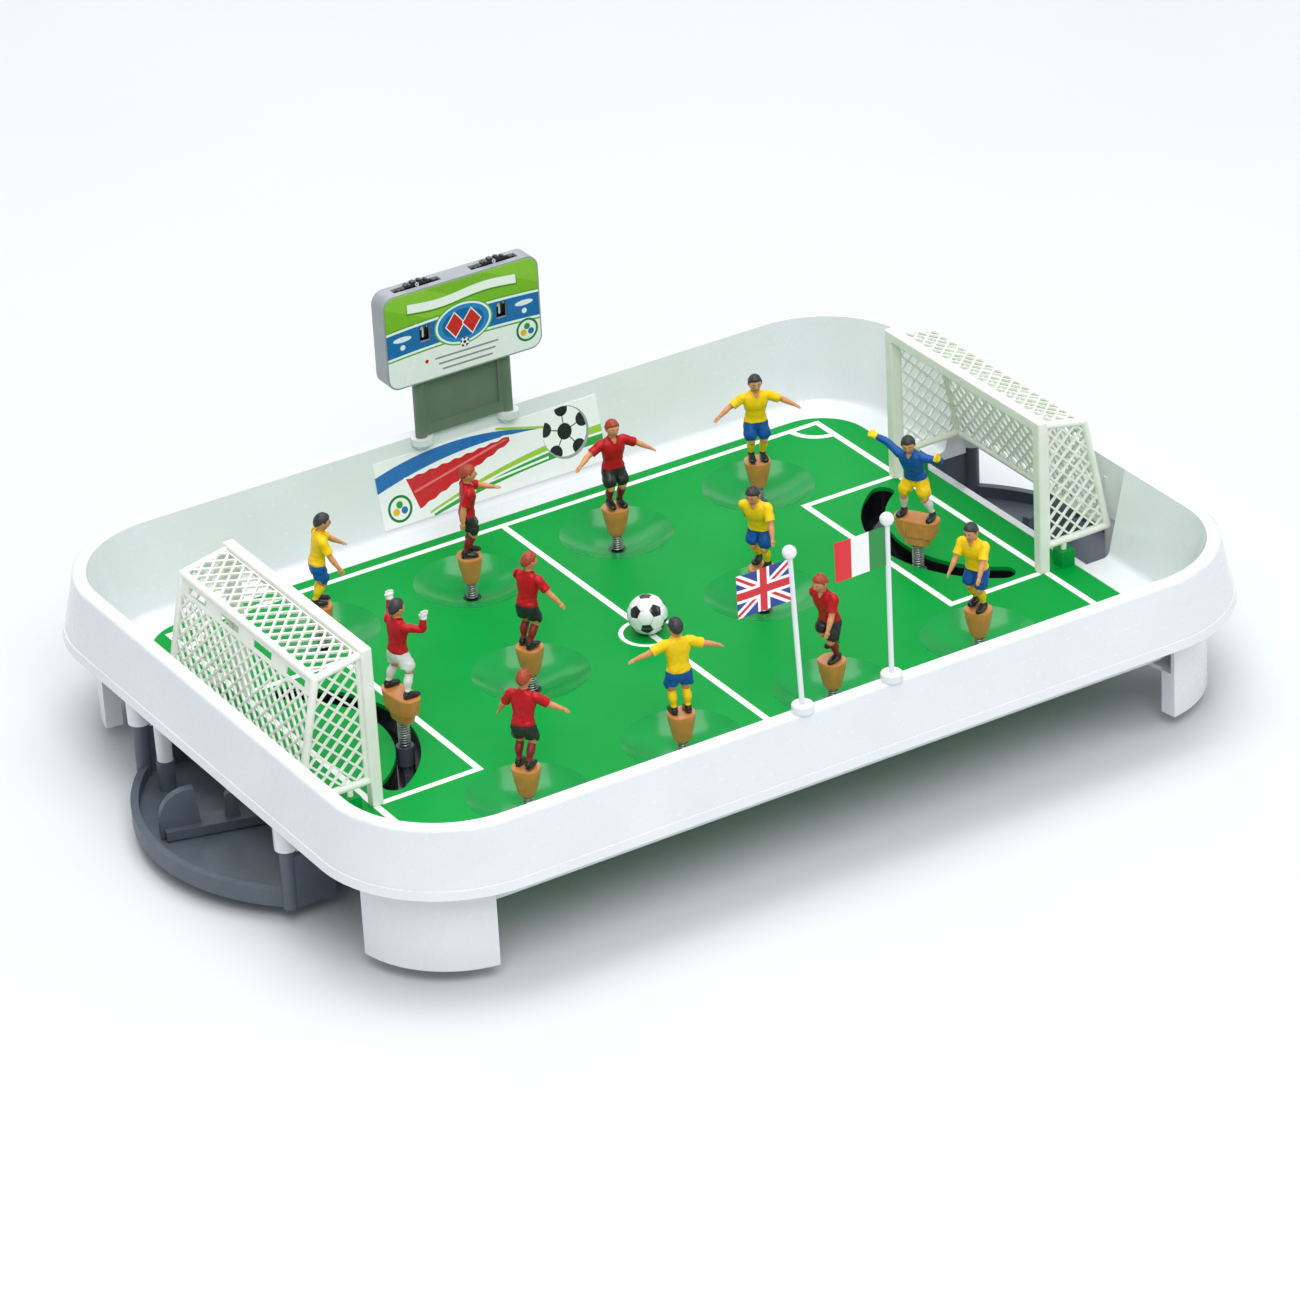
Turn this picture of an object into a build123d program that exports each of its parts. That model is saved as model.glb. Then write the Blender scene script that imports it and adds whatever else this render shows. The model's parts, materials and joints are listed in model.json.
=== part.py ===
from build123d import *
import math
import os

# Table-top spring football game. Millimetres, +Z up, X along the pitch, origin on the surface
# under the centre spot. -Y is the front side, with the flags; the scoreboard stands at the back.

# ---- driving dimensions: tray ----
RIM_LENGTH = 500.0
RIM_WIDTH = 375.0
RIM_HEIGHT = 81.0
RIM_CORNER_R = 62.0
RIM_LIP = 7.0
RIM_EDGE_R = 1.8
WALL = 2.5
SKIRT_DROP = 33.5
SKIRT_FLARE = 7.0
BEAD_HEIGHT = 4.5
BEAD_PROUD = 0.8
WALL_SLOPE_RUN = 11.0
COVE_R = 4.0
FLOOR_THICK = 4.5

# ---- driving dimensions: pitch ----
PITCH_HEIGHT = 34.0
PITCH_THICK = 2.2
END_FLOOR_MARGIN = 18.5
SIDE_FLOOR_MARGIN = 16.5
PITCH_CORNER_R = 28.0
LEDGE = 6.0
FIT_GAP = 0.3
TOUCH_GAP = 0.05

DISH_R = 30.0
DISH_DEPTH = 10.0
DISH_WALL = 2.2
COLLAR_R = 4.6
COLLAR_PROUD = 0.4

# ---- driving dimensions: field players ----
ROW_Y = 102.0
OUTER_COLUMN_X = 132.0
INNER_COLUMN_X = 44.0
CENTRE_X = 69.0
SPRING_R = 3.15
SPRING_BORE_R = 2.35
SPRING_FREE = 9.8
STUB_R = 2.15
STUB_LENGTH = 2.5
CUP_HEIGHT = 15.0
CUP_BOTTOM_R = 4.2
CUP_TOP_R = 7.0
FIGURE_HEIGHT = 51.0
BOOT_LENGTH = 9.0
BOOT_WIDTH = 4.2
BOOT_HEIGHT = 3.2
BOOT_FORWARD = 1.5
STANCE = 3.6
KEEPER_STANCE = 8.2
KNEE_FORWARD = 0.6
KNEE_Z = 13.0
HIP_Z = 22.0
HIP_OUT = 3.0
ANKLE_R = 2.0
KNEE_R = 2.5
THIGH_R = 3.2
SHORTS_Z = 16.0
WAIST_Z = 26.0
CHEST_Z = 38.0
NECK_R = 2.4
HEAD_R = 4.6
SHOULDER_OUT = 6.4
UPPER_ARM = 9.0
FORE_ARM = 10.0
SLEEVE_R = 2.7
ELBOW_R = 2.1
HAND_R = 1.8

# ---- driving dimensions: goalkeepers and their levers ----
PIVOT_OUT = 3.5
ARC_R = 67.0
SLOT_WIDTH = 12.5
SLOT_HALF_ANGLE = 56.0
LEVER_REST = 15.5
LINER_WALL = 1.5
LINER_DEPTH = 15.5
LINER_SLIT = 5.2
POST_R = 2.0
KEEPER_SPRING_FREE = 15.0
KEEPER_SPRING_DROP = 5.0
KEEPER_BASE_LENGTH = 25.0
KEEPER_BASE_DEPTH = 12.0
KEEPER_BASE_TAPER = 2.0
KEEPER_STEM_LENGTH = 16.4
KEEPER_STEM_DEPTH = 9.2
KEEPER_STEM_TAPER = 1.6
KEEPER_STEM_HEIGHT = 5.2
FIN_START = 21.0
FIN_CURVE = 15.0
FIN_SLOPE = 3.0
INNER_FIN = (17.0, 25.0)
INNER_FIN_DROP = 7.0
INNER_FIN_CURVE = 3.0
SEAT_R = 4.4
PIVOT_POST_R = 4.0
RUNNING_GAP = 0.08
HUB_R = 8.0
ARM_WIDTH = 10.0
ARM_THICK = 4.0
ARM_HEIGHT = 10.5
HANDLE_REACH = 58.0
HANDLE_WIDTH = 12.0
HANDLE_THICK = 5.0
FIN_THICK = 4.5
FIN_TOP = 29.0

# ---- driving dimensions: end trays, pockets and pillars ----
APRON_R = 104.0
APRON_CENTRE_INSET = 70.0
APRON_FLOOR = 2.5
APRON_RIM_HEIGHT = 9.0
APRON_RIM_WIDTH = 4.0
APRON_SIDE_REACH = 3.0
APRON_INNER_REACH = 13.0
APRON_CHAMFER = 8.0
SIDE_WALL_SETBACK = 2.0
SIDE_WALL_TOP = 28.5
INNER_SILL_HEIGHT = 8.0
POCKET_SIDE_ROOM = 7.5
SILL_RUN = 8.5
SILL_DROP = 3.5
PILLAR_OUT = 0.5
PILLAR_ASIDE = 1.5
PILLAR_R = 5.7
PILLAR_TAPER = 0.7
PILLAR_REACH = 70.0
PILLAR_BOTTOM = 33.0
SOCKET_R = 3.75
PIN_R = 2.0
PIN_LENGTH = 8.0
THIN_PILLAR_INSET = 2.8
THIN_PILLAR_Y = 57.0
THIN_PILLAR_R = 4.0
THIN_PILLAR_BOTTOM = 19.0
THIN_SOCKET_R = 4.5

# ---- driving dimensions: legs ----
LEG_OUTER_R = 55.0
LEG_WALL = 2.5
LEG_SPAN = 74.0
LEG_TOP = 45.0
LEG_FIN_DEPTH = 9.0
LEG_FIN_TOP = 23.9
LEG_WEB_INNER_R = 31.0
LEG_WEB_THICK = 2.5
LEG_BOSS_R = 4.5
LEG_BOSS_DROP = 5.5
LEG_SCREW_CIRCLE_R = 38.0
LEG_SCREW_SPREAD = 17.0
SCREW_R = 1.35
SCREW_HOLE_R = 1.6
SCREW_HEAD_R = 3.0
SCREW_HEAD_THICK = 1.8
SCREW_BITE = 7.0

# ---- driving dimensions: goals ----
GOAL_INSET = 17.5
GOAL_HALF_WIDTH = 66.5
GOAL_HEIGHT = 86.0
POST_SIZE = 6.0
GOAL_TOP_DEPTH = 27.0
GOAL_TOP_DROP = 5.5
GOAL_BACK_RUN = 13.5
GOAL_BAR_R = 2.0
GOAL_BAR_LIFT = 14.0
NET_THICK = 1.2
NET_PITCH = 8.2
NET_STRAND = 1.5
STRIP_HEIGHT = 8.0
STRIP_WINDOW_LENGTH = 19.0
STRIP_WINDOW_PITCH = 33.0
STRIP_WINDOW_HEIGHT = 4.5
PEG_INSET = 4.1
PEG_R = 1.5
BOSS_SIZE = 8.0
BOSS_HEIGHT = 9.0
FOOT_PIN_R = 2.0
FOOT_PIN_LENGTH = 2.0

# ---- driving dimensions: scoreboard ----
BOARD_INSET = 9.5
BOARD_WIDTH = 93.0
BOARD_HEIGHT = 53.0
BOARD_DEPTH = 12.0
BOARD_BOTTOM = 114.5
BOARD_CORNER_R = 7.0
BOARD_WALL = 1.6
CARD_THICK = 0.4
CARD_INSET = 1.0
WINDOW_X = 23.0
WINDOW_Z = 142.0
WINDOW_WIDTH = 6.4
WINDOW_HEIGHT = 9.0
WHEEL_R = 20.0
WHEEL_THICK = 3.0
WHEEL_Z = 150.4
WHEEL_TEETH = 30
WHEEL_TOOTH = 0.8
WHEEL_PIN_R = 2.0
SLOT_LENGTH = 28.0
SLOT_DEPTH = 5.0
STAND_X = 26.0
STAND_TUBE_R = 3.2
STAND_THICK = 3.0
STAND_RECESS = 1.0
STAND_BORDER = 6.0
PEG_SOCKET_R = 2.65
PEG_SOCKET_DEPTH = 6.0
BOARD_BOSS_R = 6.0
BOARD_BOSS_DROP = 3.5
BOARD_BOSS_CONE = 3.2
TONGUE_WIDTH = 40.0
TONGUE_HEIGHT = 7.0
BOARD_SCREWS = ((0.0, 158.5), (-38.0, 121.5), (38.0, 121.5))

# ---- driving dimensions: flags, banner, ball ----
FLAG_X = 25.5
FLAG_INSET = 3.5
FLAG_BASE_R = 5.5
FLAG_BASE_HEIGHT = 4.2
FLAG_POLE_R = 1.3
FLAG_POLE_TOP = 164.5
FLAG_BALL_R = 3.5
FLAG_PEG_R = 1.7
FLAG_LEAN = 2.6
FLAG_WIDTH = 30.0
FLAG_HEIGHT = 21.0
FLAG_THICK = 0.5
BANNER_LEFT = -56.0
BANNER_RIGHT = 80.0
BANNER_FOOT = 3.6
BANNER_HEIGHT = 36.5
BANNER_THICK = 0.5
BALL_R = 10.35

# ---- sizes that follow ----
HALF_X = RIM_LENGTH / 2
HALF_Y = RIM_WIDTH / 2
SKIRT_BOTTOM = RIM_HEIGHT - SKIRT_DROP
CORNER_X = HALF_X - RIM_CORNER_R
CORNER_Y = HALF_Y - RIM_CORNER_R
PITCH_HALF_X = HALF_X - RIM_LIP - WALL_SLOPE_RUN - END_FLOOR_MARGIN
PITCH_HALF_Y = HALF_Y - RIM_LIP - WALL_SLOPE_RUN - SIDE_FLOOR_MARGIN
GOAL_X = PITCH_HALF_X - GOAL_INSET
PEG_X = PITCH_HALF_X - PEG_INSET
PIVOT_X = PITCH_HALF_X + PIVOT_OUT
POCKET_INNER_X = PITCH_HALF_X + SILL_RUN
POCKET_WALL_X = HALF_X - RIM_LIP
POCKET_HALF_WIDTH = GOAL_HALF_WIDTH + POCKET_SIDE_ROOM
PILLAR_X = HALF_X + PILLAR_OUT
PILLAR_Y = POCKET_HALF_WIDTH + PILLAR_ASIDE
THIN_PILLAR_X = HALF_X - THIN_PILLAR_INSET
APRON_CENTRE_X = HALF_X - APRON_CENTRE_INSET
APRON_INNER_X = PIVOT_X - APRON_INNER_REACH
APRON_HALF_WIDTH = PILLAR_Y + APRON_SIDE_REACH
SIDE_WALL_START_X = PIVOT_X + SIDE_WALL_SETBACK
BOARD_Y = HALF_Y - BOARD_INSET
FLAG_Y = HALF_Y - FLAG_INSET
FLOOR_BOTTOM = PITCH_HEIGHT - FLOOR_THICK
PITCH_UNDER = PITCH_HEIGHT - PITCH_THICK
DISH_SPHERE_R = (DISH_R**2 + DISH_DEPTH**2) / (2 * DISH_DEPTH)
DISH_FLOOR = PITCH_HEIGHT - DISH_DEPTH
SEAT_TOP = DISH_FLOOR + COLLAR_PROUD
CUP_BOTTOM = SEAT_TOP + SPRING_FREE
KEEPER_SEAT_TOP = PITCH_HEIGHT - KEEPER_SPRING_DROP
KEEPER_CUP_BOTTOM = KEEPER_SEAT_TOP + KEEPER_SPRING_FREE
GOAL_TOP = PITCH_HEIGHT + GOAL_HEIGHT
GOAL_BACK_X = GOAL_X + GOAL_TOP_DEPTH
GOAL_BACK_TOP = GOAL_TOP - POST_SIZE / 2 - GOAL_TOP_DROP
GOAL_FOOT_X = GOAL_BACK_X + GOAL_BACK_RUN
GOAL_BAR_Z = PITCH_HEIGHT + GOAL_BAR_LIFT
LINER_BOTTOM = PITCH_UNDER - LINER_DEPTH
BOARD_TOP = BOARD_BOTTOM + BOARD_HEIGHT
BOARD_FRONT_Y = BOARD_Y - BOARD_DEPTH / 2

# name: (x, y, facing in degrees, left arm, right arm, lean), an arm is (swing forward, raise sideways)
FIELD_PLAYERS = {
    "player_red_1": (INNER_COLUMN_X, ROW_Y, -95.0, (10, 62), (10, 62), 3.0),
    "player_red_2": (-INNER_COLUMN_X, ROW_Y, -20.0, (75, 5), (-20, 8), 4.0),
    "player_red_3": (-CENTRE_X, 0.0, 20.0, (55, 15), (20, 40), 8.0),
    "player_red_4": (-OUTER_COLUMN_X, -ROW_Y, 35.0, (20, 35), (45, 45), 8.0),
    "player_red_5": (INNER_COLUMN_X, -ROW_Y, 195.0, (40, 10), (-25, 12), 14.0),
    "player_yellow_1": (OUTER_COLUMN_X, ROW_Y, -110.0, (5, 65), (5, 60), 5.0),
    "player_yellow_2": (CENTRE_X, 0.0, 215.0, (40, 20), (-35, 15), 18.0),
    "player_yellow_3": (-INNER_COLUMN_X, -ROW_Y, 75.0, (5, 68), (5, 68), 3.0),
    "player_yellow_4": (OUTER_COLUMN_X, -ROW_Y, 205.0, (45, 8), (40, 10), 12.0),
    "player_yellow_5": (-OUTER_COLUMN_X, ROW_Y, -15.0, (60, 10), (30, 20), 10.0),
}
KEEPERS = {
    "keeper_red": (-1, 22.0, (90, 50, 175, 5), (90, 50, 175, 5), 2.0),
    "keeper_yellow": (1, 14.5, (-40, 75, 146, 8), (-150, 58), 14.0),
}


def save(shape, name):
    shape = shape.clean()
    shape.label = name
    export_step(shape, "parts/" + name + ".step")


def slab(half_x, half_y, radius, z, thick):
    """Flat plate with rounded corners, from z upwards."""
    return Pos(0, 0, z) * extrude(RectangleRounded(2 * half_x, 2 * half_y, radius), thick)


def frustum(lower, upper):
    """Loft between two rounded rectangles, each (half x, half y, corner radius, z)."""
    faces = []
    for half_x, half_y, radius, z in (lower, upper):
        faces.append(Pos(0, 0, z) * RectangleRounded(2 * half_x, 2 * half_y, radius))
    return loft(faces, ruled=True)


def block(x0, x1, y0, y1, z0, z1):
    """Box between two corners."""
    centre = Pos((x0 + x1) / 2, (y0 + y1) / 2, (z0 + z1) / 2)
    return centre * Box(x1 - x0, y1 - y0, z1 - z0)


def rod(start, end, radius):
    """Round bar from one point to another."""
    a = Vector(*start)
    b = Vector(*end)
    plane = Plane(origin=a, z_dir=b - a)
    return extrude(plane * Circle(radius), (b - a).length)


def post(x, y, z0, z1, radius):
    """Upright round bar."""
    return Pos(x, y, (z0 + z1) / 2) * Cylinder(radius, z1 - z0)


def ring_sector(inner, outer, half_angle, z0, z1):
    """Annular sector about the Z axis, symmetric about +X."""
    ring = Cylinder(outer, z1 - z0) - Cylinder(inner, 2 * (z1 - z0))
    reach = 3 * outer
    wedge = Polyline(
        (0, 0),
        (reach * math.cos(math.radians(half_angle)), reach * math.sin(math.radians(half_angle))),
        (reach, 0) if half_angle < 80 else (reach, reach),
        (reach * math.cos(math.radians(half_angle)), -reach * math.sin(math.radians(half_angle))),
        close=True,
    )
    return Pos(0, 0, (z0 + z1) / 2) * (ring & extrude(make_face(wedge), z1 - z0, both=True))


def arc_slot(width, z0, z1):
    """Round-ended slot volume along the keeper's arc, about the pivot, opening towards -X."""
    body = ring_sector(ARC_R - width / 2, ARC_R + width / 2, SLOT_HALF_ANGLE, z0, z1)
    for side in (-1, 1):
        angle = math.radians(side * SLOT_HALF_ANGLE)
        body += post(ARC_R * math.cos(angle), ARC_R * math.sin(angle), z0, z1, width / 2)
    return Pos(PIVOT_X, 0, 0) * Rot(0, 0, 180) * body


def both_ends(make):
    """The +X piece and its copy turned half a turn."""
    piece = make()
    return piece, Rot(0, 0, 180) * piece


# ---- tray ----
def bowl_outline(offset, z):
    """Inner wall outline at a height, moved outwards by offset: (half x, half y, radius, z)."""
    run = WALL_SLOPE_RUN * (RIM_HEIGHT - z) / (RIM_HEIGHT - PITCH_HEIGHT)
    inset = RIM_LIP + run - offset
    return (HALF_X - inset, HALF_Y - inset, RIM_CORNER_R - inset, z)


def skirt_outline(offset, z):
    """Skirt outline at a height, moved outwards by offset."""
    out = offset + SKIRT_FLARE * (RIM_HEIGHT - z) / SKIRT_DROP
    return (HALF_X + out, HALF_Y + out, RIM_CORNER_R + out, z)


def skirt_shell():
    outside = frustum(skirt_outline(0, SKIRT_BOTTOM), skirt_outline(0, RIM_HEIGHT))
    outside = fillet(outside.faces().sort_by(Axis.Z)[-1].edges(), RIM_EDGE_R)
    top = RIM_HEIGHT - WALL
    inside = frustum(skirt_outline(-WALL, SKIRT_BOTTOM - 1), skirt_outline(-WALL, top))
    bead_top = SKIRT_BOTTOM + BEAD_HEIGHT
    bead = frustum(skirt_outline(BEAD_PROUD, SKIRT_BOTTOM), skirt_outline(BEAD_PROUD, bead_top))
    return outside + bead - inside


def bowl_void():
    void = frustum(bowl_outline(0, PITCH_HEIGHT), bowl_outline(0, RIM_HEIGHT + 1))
    return fillet(void.faces().sort_by(Axis.Z)[0].edges(), COVE_R)


def pocket_void():
    """Ball drop behind one goal, through wall and floor, with the sloping sill."""
    hole = block(POCKET_INNER_X, POCKET_WALL_X, -POCKET_HALF_WIDTH, POCKET_HALF_WIDTH, 0, RIM_HEIGHT + 1)
    edge_x = PITCH_HALF_X + FIT_GAP
    profile = Polyline(
        (edge_x, PITCH_HEIGHT),
        (POCKET_INNER_X, PITCH_HEIGHT - SILL_DROP),
        (POCKET_WALL_X, PITCH_HEIGHT - SILL_DROP),
        (POCKET_WALL_X, RIM_HEIGHT + 1),
        (edge_x, RIM_HEIGHT + 1),
        close=True,
    )
    wedge = extrude(Plane.XZ * make_face(profile), POCKET_HALF_WIDTH, both=True)
    return hole + wedge


def pocket_walls():
    """Upright back wall and side walls of one pocket, the side walls rooted in the sloping wall."""
    wide = POCKET_HALF_WIDTH + WALL
    root = WALL / 4
    keep_clear = frustum(bowl_outline(root, PITCH_HEIGHT - 1), bowl_outline(root, RIM_HEIGHT + 1))
    start = POCKET_WALL_X - WALL_SLOPE_RUN + 1
    wall_end = POCKET_WALL_X + WALL
    top = RIM_HEIGHT - WALL / 2
    walls = block(POCKET_WALL_X, wall_end, -wide, wide, SKIRT_BOTTOM, top)
    for side in (-1, 1):
        low, high = sorted((side * POCKET_HALF_WIDTH, side * wide))
        walls += block(start, wall_end, low, high, FLOOR_BOTTOM, top) - keep_clear
    return walls


def pillar(x, y, radius, bottom, top, limit):
    """Tapered post under the rim, kept inside the skirt, with its pin."""
    height = top - bottom
    cone = Pos(x, y, bottom + height / 2) * Cone(radius, radius + PILLAR_TAPER, height)
    above = cone & limit
    below = cone & block(x - 20, x + 20, y - 20, y + 20, 0, SKIRT_BOTTOM)
    return above + below + post(x, y, bottom - PIN_LENGTH, bottom + 1, PIN_R)


def pillars(limit):
    group = []
    for end in (-1, 1):
        for side in (-1, 1):
            y = side * PILLAR_Y
            group.append(pillar(end * PILLAR_X, y, PILLAR_R, PILLAR_BOTTOM, PILLAR_REACH, limit))
        x = end * THIN_PILLAR_X
        group.append(pillar(x, -end * THIN_PILLAR_Y, THIN_PILLAR_R, THIN_PILLAR_BOTTOM, PILLAR_REACH, limit))
    return group


def leg_screw_points(sign_x, sign_y):
    """Screw places of one leg on their circle about the tray's corner centre."""
    diagonal = math.degrees(math.atan2(sign_y, sign_x))
    points = []
    for offset in (-LEG_SCREW_SPREAD, LEG_SCREW_SPREAD):
        angle = math.radians(diagonal + offset)
        x = sign_x * CORNER_X + LEG_SCREW_CIRCLE_R * math.cos(angle)
        y = sign_y * CORNER_Y + LEG_SCREW_CIRCLE_R * math.sin(angle)
        points.append((x, y))
    return points


CORNERS = {"front_left": (-1, -1), "front_right": (1, -1), "back_left": (-1, 1), "back_right": (1, 1)}


def table_tray():
    limit = frustum(skirt_outline(0, SKIRT_BOTTOM), skirt_outline(0, RIM_HEIGHT))
    tray = skirt_shell()
    tray += frustum(bowl_outline(WALL, FLOOR_BOTTOM), bowl_outline(WALL, RIM_HEIGHT - WALL / 2))
    tray -= bowl_void()
    for sign_x, sign_y in CORNERS.values():
        for x, y in leg_screw_points(sign_x, sign_y):
            tray += post(x, y, FLOOR_BOTTOM - LEG_BOSS_DROP, FLOOR_BOTTOM + 1, LEG_BOSS_R)
    for side in (-1, 1):
        x = side * STAND_X
        drop = RIM_HEIGHT - BOARD_BOSS_DROP
        tray += post(x, BOARD_Y, drop, RIM_HEIGHT, BOARD_BOSS_R)
        cone = Cone(BOARD_BOSS_R / 2, BOARD_BOSS_R, BOARD_BOSS_CONE)
        tray += Pos(x, BOARD_Y, drop - BOARD_BOSS_CONE / 2) * cone
    window = slab(PITCH_HALF_X - LEDGE, PITCH_HALF_Y - LEDGE, PITCH_CORNER_R - LEDGE, 0, RIM_HEIGHT)
    recess_x = PITCH_HALF_X + FIT_GAP
    recess_y = PITCH_HALF_Y + FIT_GAP
    tray -= window & block(-HALF_X, HALF_X, -HALF_Y, HALF_Y, 0, PITCH_HEIGHT + 1)
    tray -= slab(recess_x, recess_y, PITCH_CORNER_R + FIT_GAP, PITCH_UNDER, PITCH_THICK + 1)
    for angle in (0, 180):
        tray -= Rot(0, 0, angle) * pocket_void()
        tray += Rot(0, 0, angle) * pocket_walls()
    for piece in pillars(limit):
        tray += piece
    for sign_x, sign_y in CORNERS.values():
        for x, y in leg_screw_points(sign_x, sign_y):
            tray -= post(x, y, 0, FLOOR_BOTTOM - LEG_BOSS_DROP + SCREW_BITE + 0.5, SCREW_R + TOUCH_GAP)
    for side in (-1, 1):
        socket_bottom = RIM_HEIGHT - PEG_SOCKET_DEPTH
        tray -= post(side * STAND_X, BOARD_Y, socket_bottom, RIM_HEIGHT + 1, PEG_SOCKET_R)
        tray -= post(side * FLAG_X, -FLAG_Y, RIM_HEIGHT - 2 * WALL, RIM_HEIGHT + 1, FLAG_PEG_R + TOUCH_GAP)
    return tray


# ---- pitch ----
def dish_centres():
    return [(spec[0], spec[1]) for spec in FIELD_PLAYERS.values()]


def goal_corners():
    return [(end, side) for end in (-1, 1) for side in (-1, 1)]


def pitch():
    half_x = PITCH_HALF_X
    plate = slab(half_x, PITCH_HALF_Y, PITCH_CORNER_R, PITCH_UNDER, PITCH_THICK)
    for end, side in goal_corners():
        x = end * (half_x - BOSS_SIZE / 2)
        y = side * GOAL_HALF_WIDTH
        plate += Pos(x, y, PITCH_HEIGHT + BOSS_HEIGHT / 2) * Box(BOSS_SIZE, BOSS_SIZE, BOSS_HEIGHT)
        plate -= post(end * PEG_X, y, PITCH_HEIGHT + 1, PITCH_HEIGHT + BOSS_HEIGHT + 1, PEG_R + TOUCH_GAP)
        plate -= post(end * GOAL_X, y, PITCH_UNDER - 1, PITCH_HEIGHT + 1, FOOT_PIN_R + TOUCH_GAP)
    for x, y in dish_centres():
        plate -= post(x, y, PITCH_UNDER - 1, PITCH_HEIGHT + 1, DISH_R)
    for piece in both_ends(lambda: arc_slot(SLOT_WIDTH, PITCH_UNDER - 1, PITCH_HEIGHT + 1)):
        plate -= piece
    return plate


def pitch_dishes():
    """Round bowls of the same moulding, met by the plate at the edge of each round opening."""
    centre_z = DISH_FLOOR + DISH_SPHERE_R
    dishes = []
    for x, y in dish_centres():
        shell = Pos(x, y, centre_z) * Sphere(DISH_SPHERE_R + DISH_WALL)
        shell -= Pos(x, y, centre_z) * Sphere(DISH_SPHERE_R)
        shell &= post(x, y, DISH_FLOOR - 2 * DISH_WALL, PITCH_HEIGHT, DISH_R)
        shell -= post(x, y, 0, PITCH_HEIGHT, COLLAR_R + TOUCH_GAP)
        dishes.append(shell)
    return Compound(children=dishes)


def spring_seats():
    """Black plugs in the dishes that the field springs stand on."""
    centre_z = DISH_FLOOR + DISH_SPHERE_R
    hole = COLLAR_R + TOUCH_GAP
    flange_top = centre_z - math.sqrt((DISH_SPHERE_R + DISH_WALL) ** 2 - hole**2) - 4 * TOUCH_GAP
    seats = []
    for x, y in dish_centres():
        seat = post(x, y, flange_top - 1.6, SEAT_TOP, COLLAR_R)
        seat += post(x, y, flange_top - 1.6, flange_top, COLLAR_R + 2.2)
        seat += post(x, y, SEAT_TOP - 1, SEAT_TOP + STUB_LENGTH, STUB_R)
        seats.append(seat)
    return Compound(children=seats)


def slot_liner():
    """Black trough under one keeper slot, with a slit for the lever's post."""
    bottom = LINER_BOTTOM
    trough = arc_slot(SLOT_WIDTH + 2 * LINER_WALL, bottom, PITCH_UNDER)
    trough -= arc_slot(SLOT_WIDTH, bottom + LINER_WALL, PITCH_UNDER + 1)
    return trough - arc_slot(LINER_SLIT, bottom - 1, PITCH_UNDER)


# ---- end tray and lever ----
def apron_outline(inset):
    """Half-round outline of the end tray, moved inwards by inset."""
    half = APRON_HALF_WIDTH - inset
    radius = APRON_R - inset
    meet_x = APRON_CENTRE_X + math.sqrt(radius**2 - half**2)
    start = APRON_INNER_X + inset
    chamfer = APRON_CHAMFER
    lines = Polyline(
        (meet_x, half),
        (SIDE_WALL_START_X + chamfer, half),
        (SIDE_WALL_START_X, half - chamfer),
        (start, half - chamfer),
        (start, -half + chamfer),
        (SIDE_WALL_START_X, -half + chamfer),
        (SIDE_WALL_START_X + chamfer, -half),
        (meet_x, -half),
    )
    arc = ThreePointArc((meet_x, half), (APRON_CENTRE_X + radius, 0), (meet_x, -half))
    return make_face(lines + arc)


def end_tray():
    outer = apron_outline(0)
    inner = apron_outline(APRON_RIM_WIDTH)
    walls_inner = apron_outline(WALL)
    tray = extrude(outer, APRON_FLOOR)
    apron_start = PILLAR_X
    wall_end = PILLAR_X
    rim = extrude(outer, APRON_RIM_HEIGHT) - extrude(inner, APRON_RIM_HEIGHT)
    tray += rim & block(apron_start, APRON_R + APRON_CENTRE_X, -HALF_Y, HALF_Y, 0, RIM_HEIGHT)
    sides = extrude(outer, SIDE_WALL_TOP) - extrude(walls_inner, SIDE_WALL_TOP)
    tray += sides & block(SIDE_WALL_START_X - 1, wall_end, -HALF_Y, HALF_Y, 0, RIM_HEIGHT)
    sill = extrude(outer, INNER_SILL_HEIGHT) - extrude(walls_inner, INNER_SILL_HEIGHT)
    tray += sill & block(APRON_INNER_X - 1, SIDE_WALL_START_X, -HALF_Y, HALF_Y, 0, RIM_HEIGHT)
    for side in (-1, 1):
        tray += post(PILLAR_X, side * PILLAR_Y, 0, PILLAR_BOTTOM, SOCKET_R)
    tray += post(THIN_PILLAR_X, -THIN_PILLAR_Y, 0, THIN_PILLAR_BOTTOM, THIN_SOCKET_R)
    tray += post(PIVOT_X, 0, 0, lever_top() + 2 * TOUCH_GAP, PIVOT_POST_R)
    tray += post(PIVOT_X, 0, 0, APRON_FLOOR + 0.5, HUB_R)
    socket_depth = PIN_LENGTH + 0.5
    for side in (-1, 1):
        bottom = PILLAR_BOTTOM - socket_depth
        tray -= post(PILLAR_X, side * PILLAR_Y, bottom, RIM_HEIGHT, PIN_R + TOUCH_GAP)
    bottom = THIN_PILLAR_BOTTOM - socket_depth
    tray -= post(THIN_PILLAR_X, -THIN_PILLAR_Y, bottom, RIM_HEIGHT, PIN_R + TOUCH_GAP)
    tray -= post(PIVOT_X, 0, lever_top() - SCREW_BITE - 0.5, RIM_HEIGHT, SCREW_R + TOUCH_GAP)
    return tray


def lever_bottom():
    return APRON_FLOOR + 0.5 + FIT_GAP


def lever_top():
    return ARM_HEIGHT + ARM_THICK + 4.0


def fin(start, end, top, curve):
    """Upright thumb plate along the handle, rounded on its outer edge."""
    base = lever_bottom()
    profile = Polyline((start, base), (start + FIN_SLOPE, top), (end - curve, top))
    arc = ThreePointArc((end - curve, top), (end - 0.29 * curve, top - 0.29 * curve), (end, top - curve))
    rest = Polyline((end, top - curve), (end, base), (start, base))
    face = make_face(profile + arc + rest)
    return extrude(Plane.XZ * face, FIN_THICK / 2, both=True)


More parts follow.
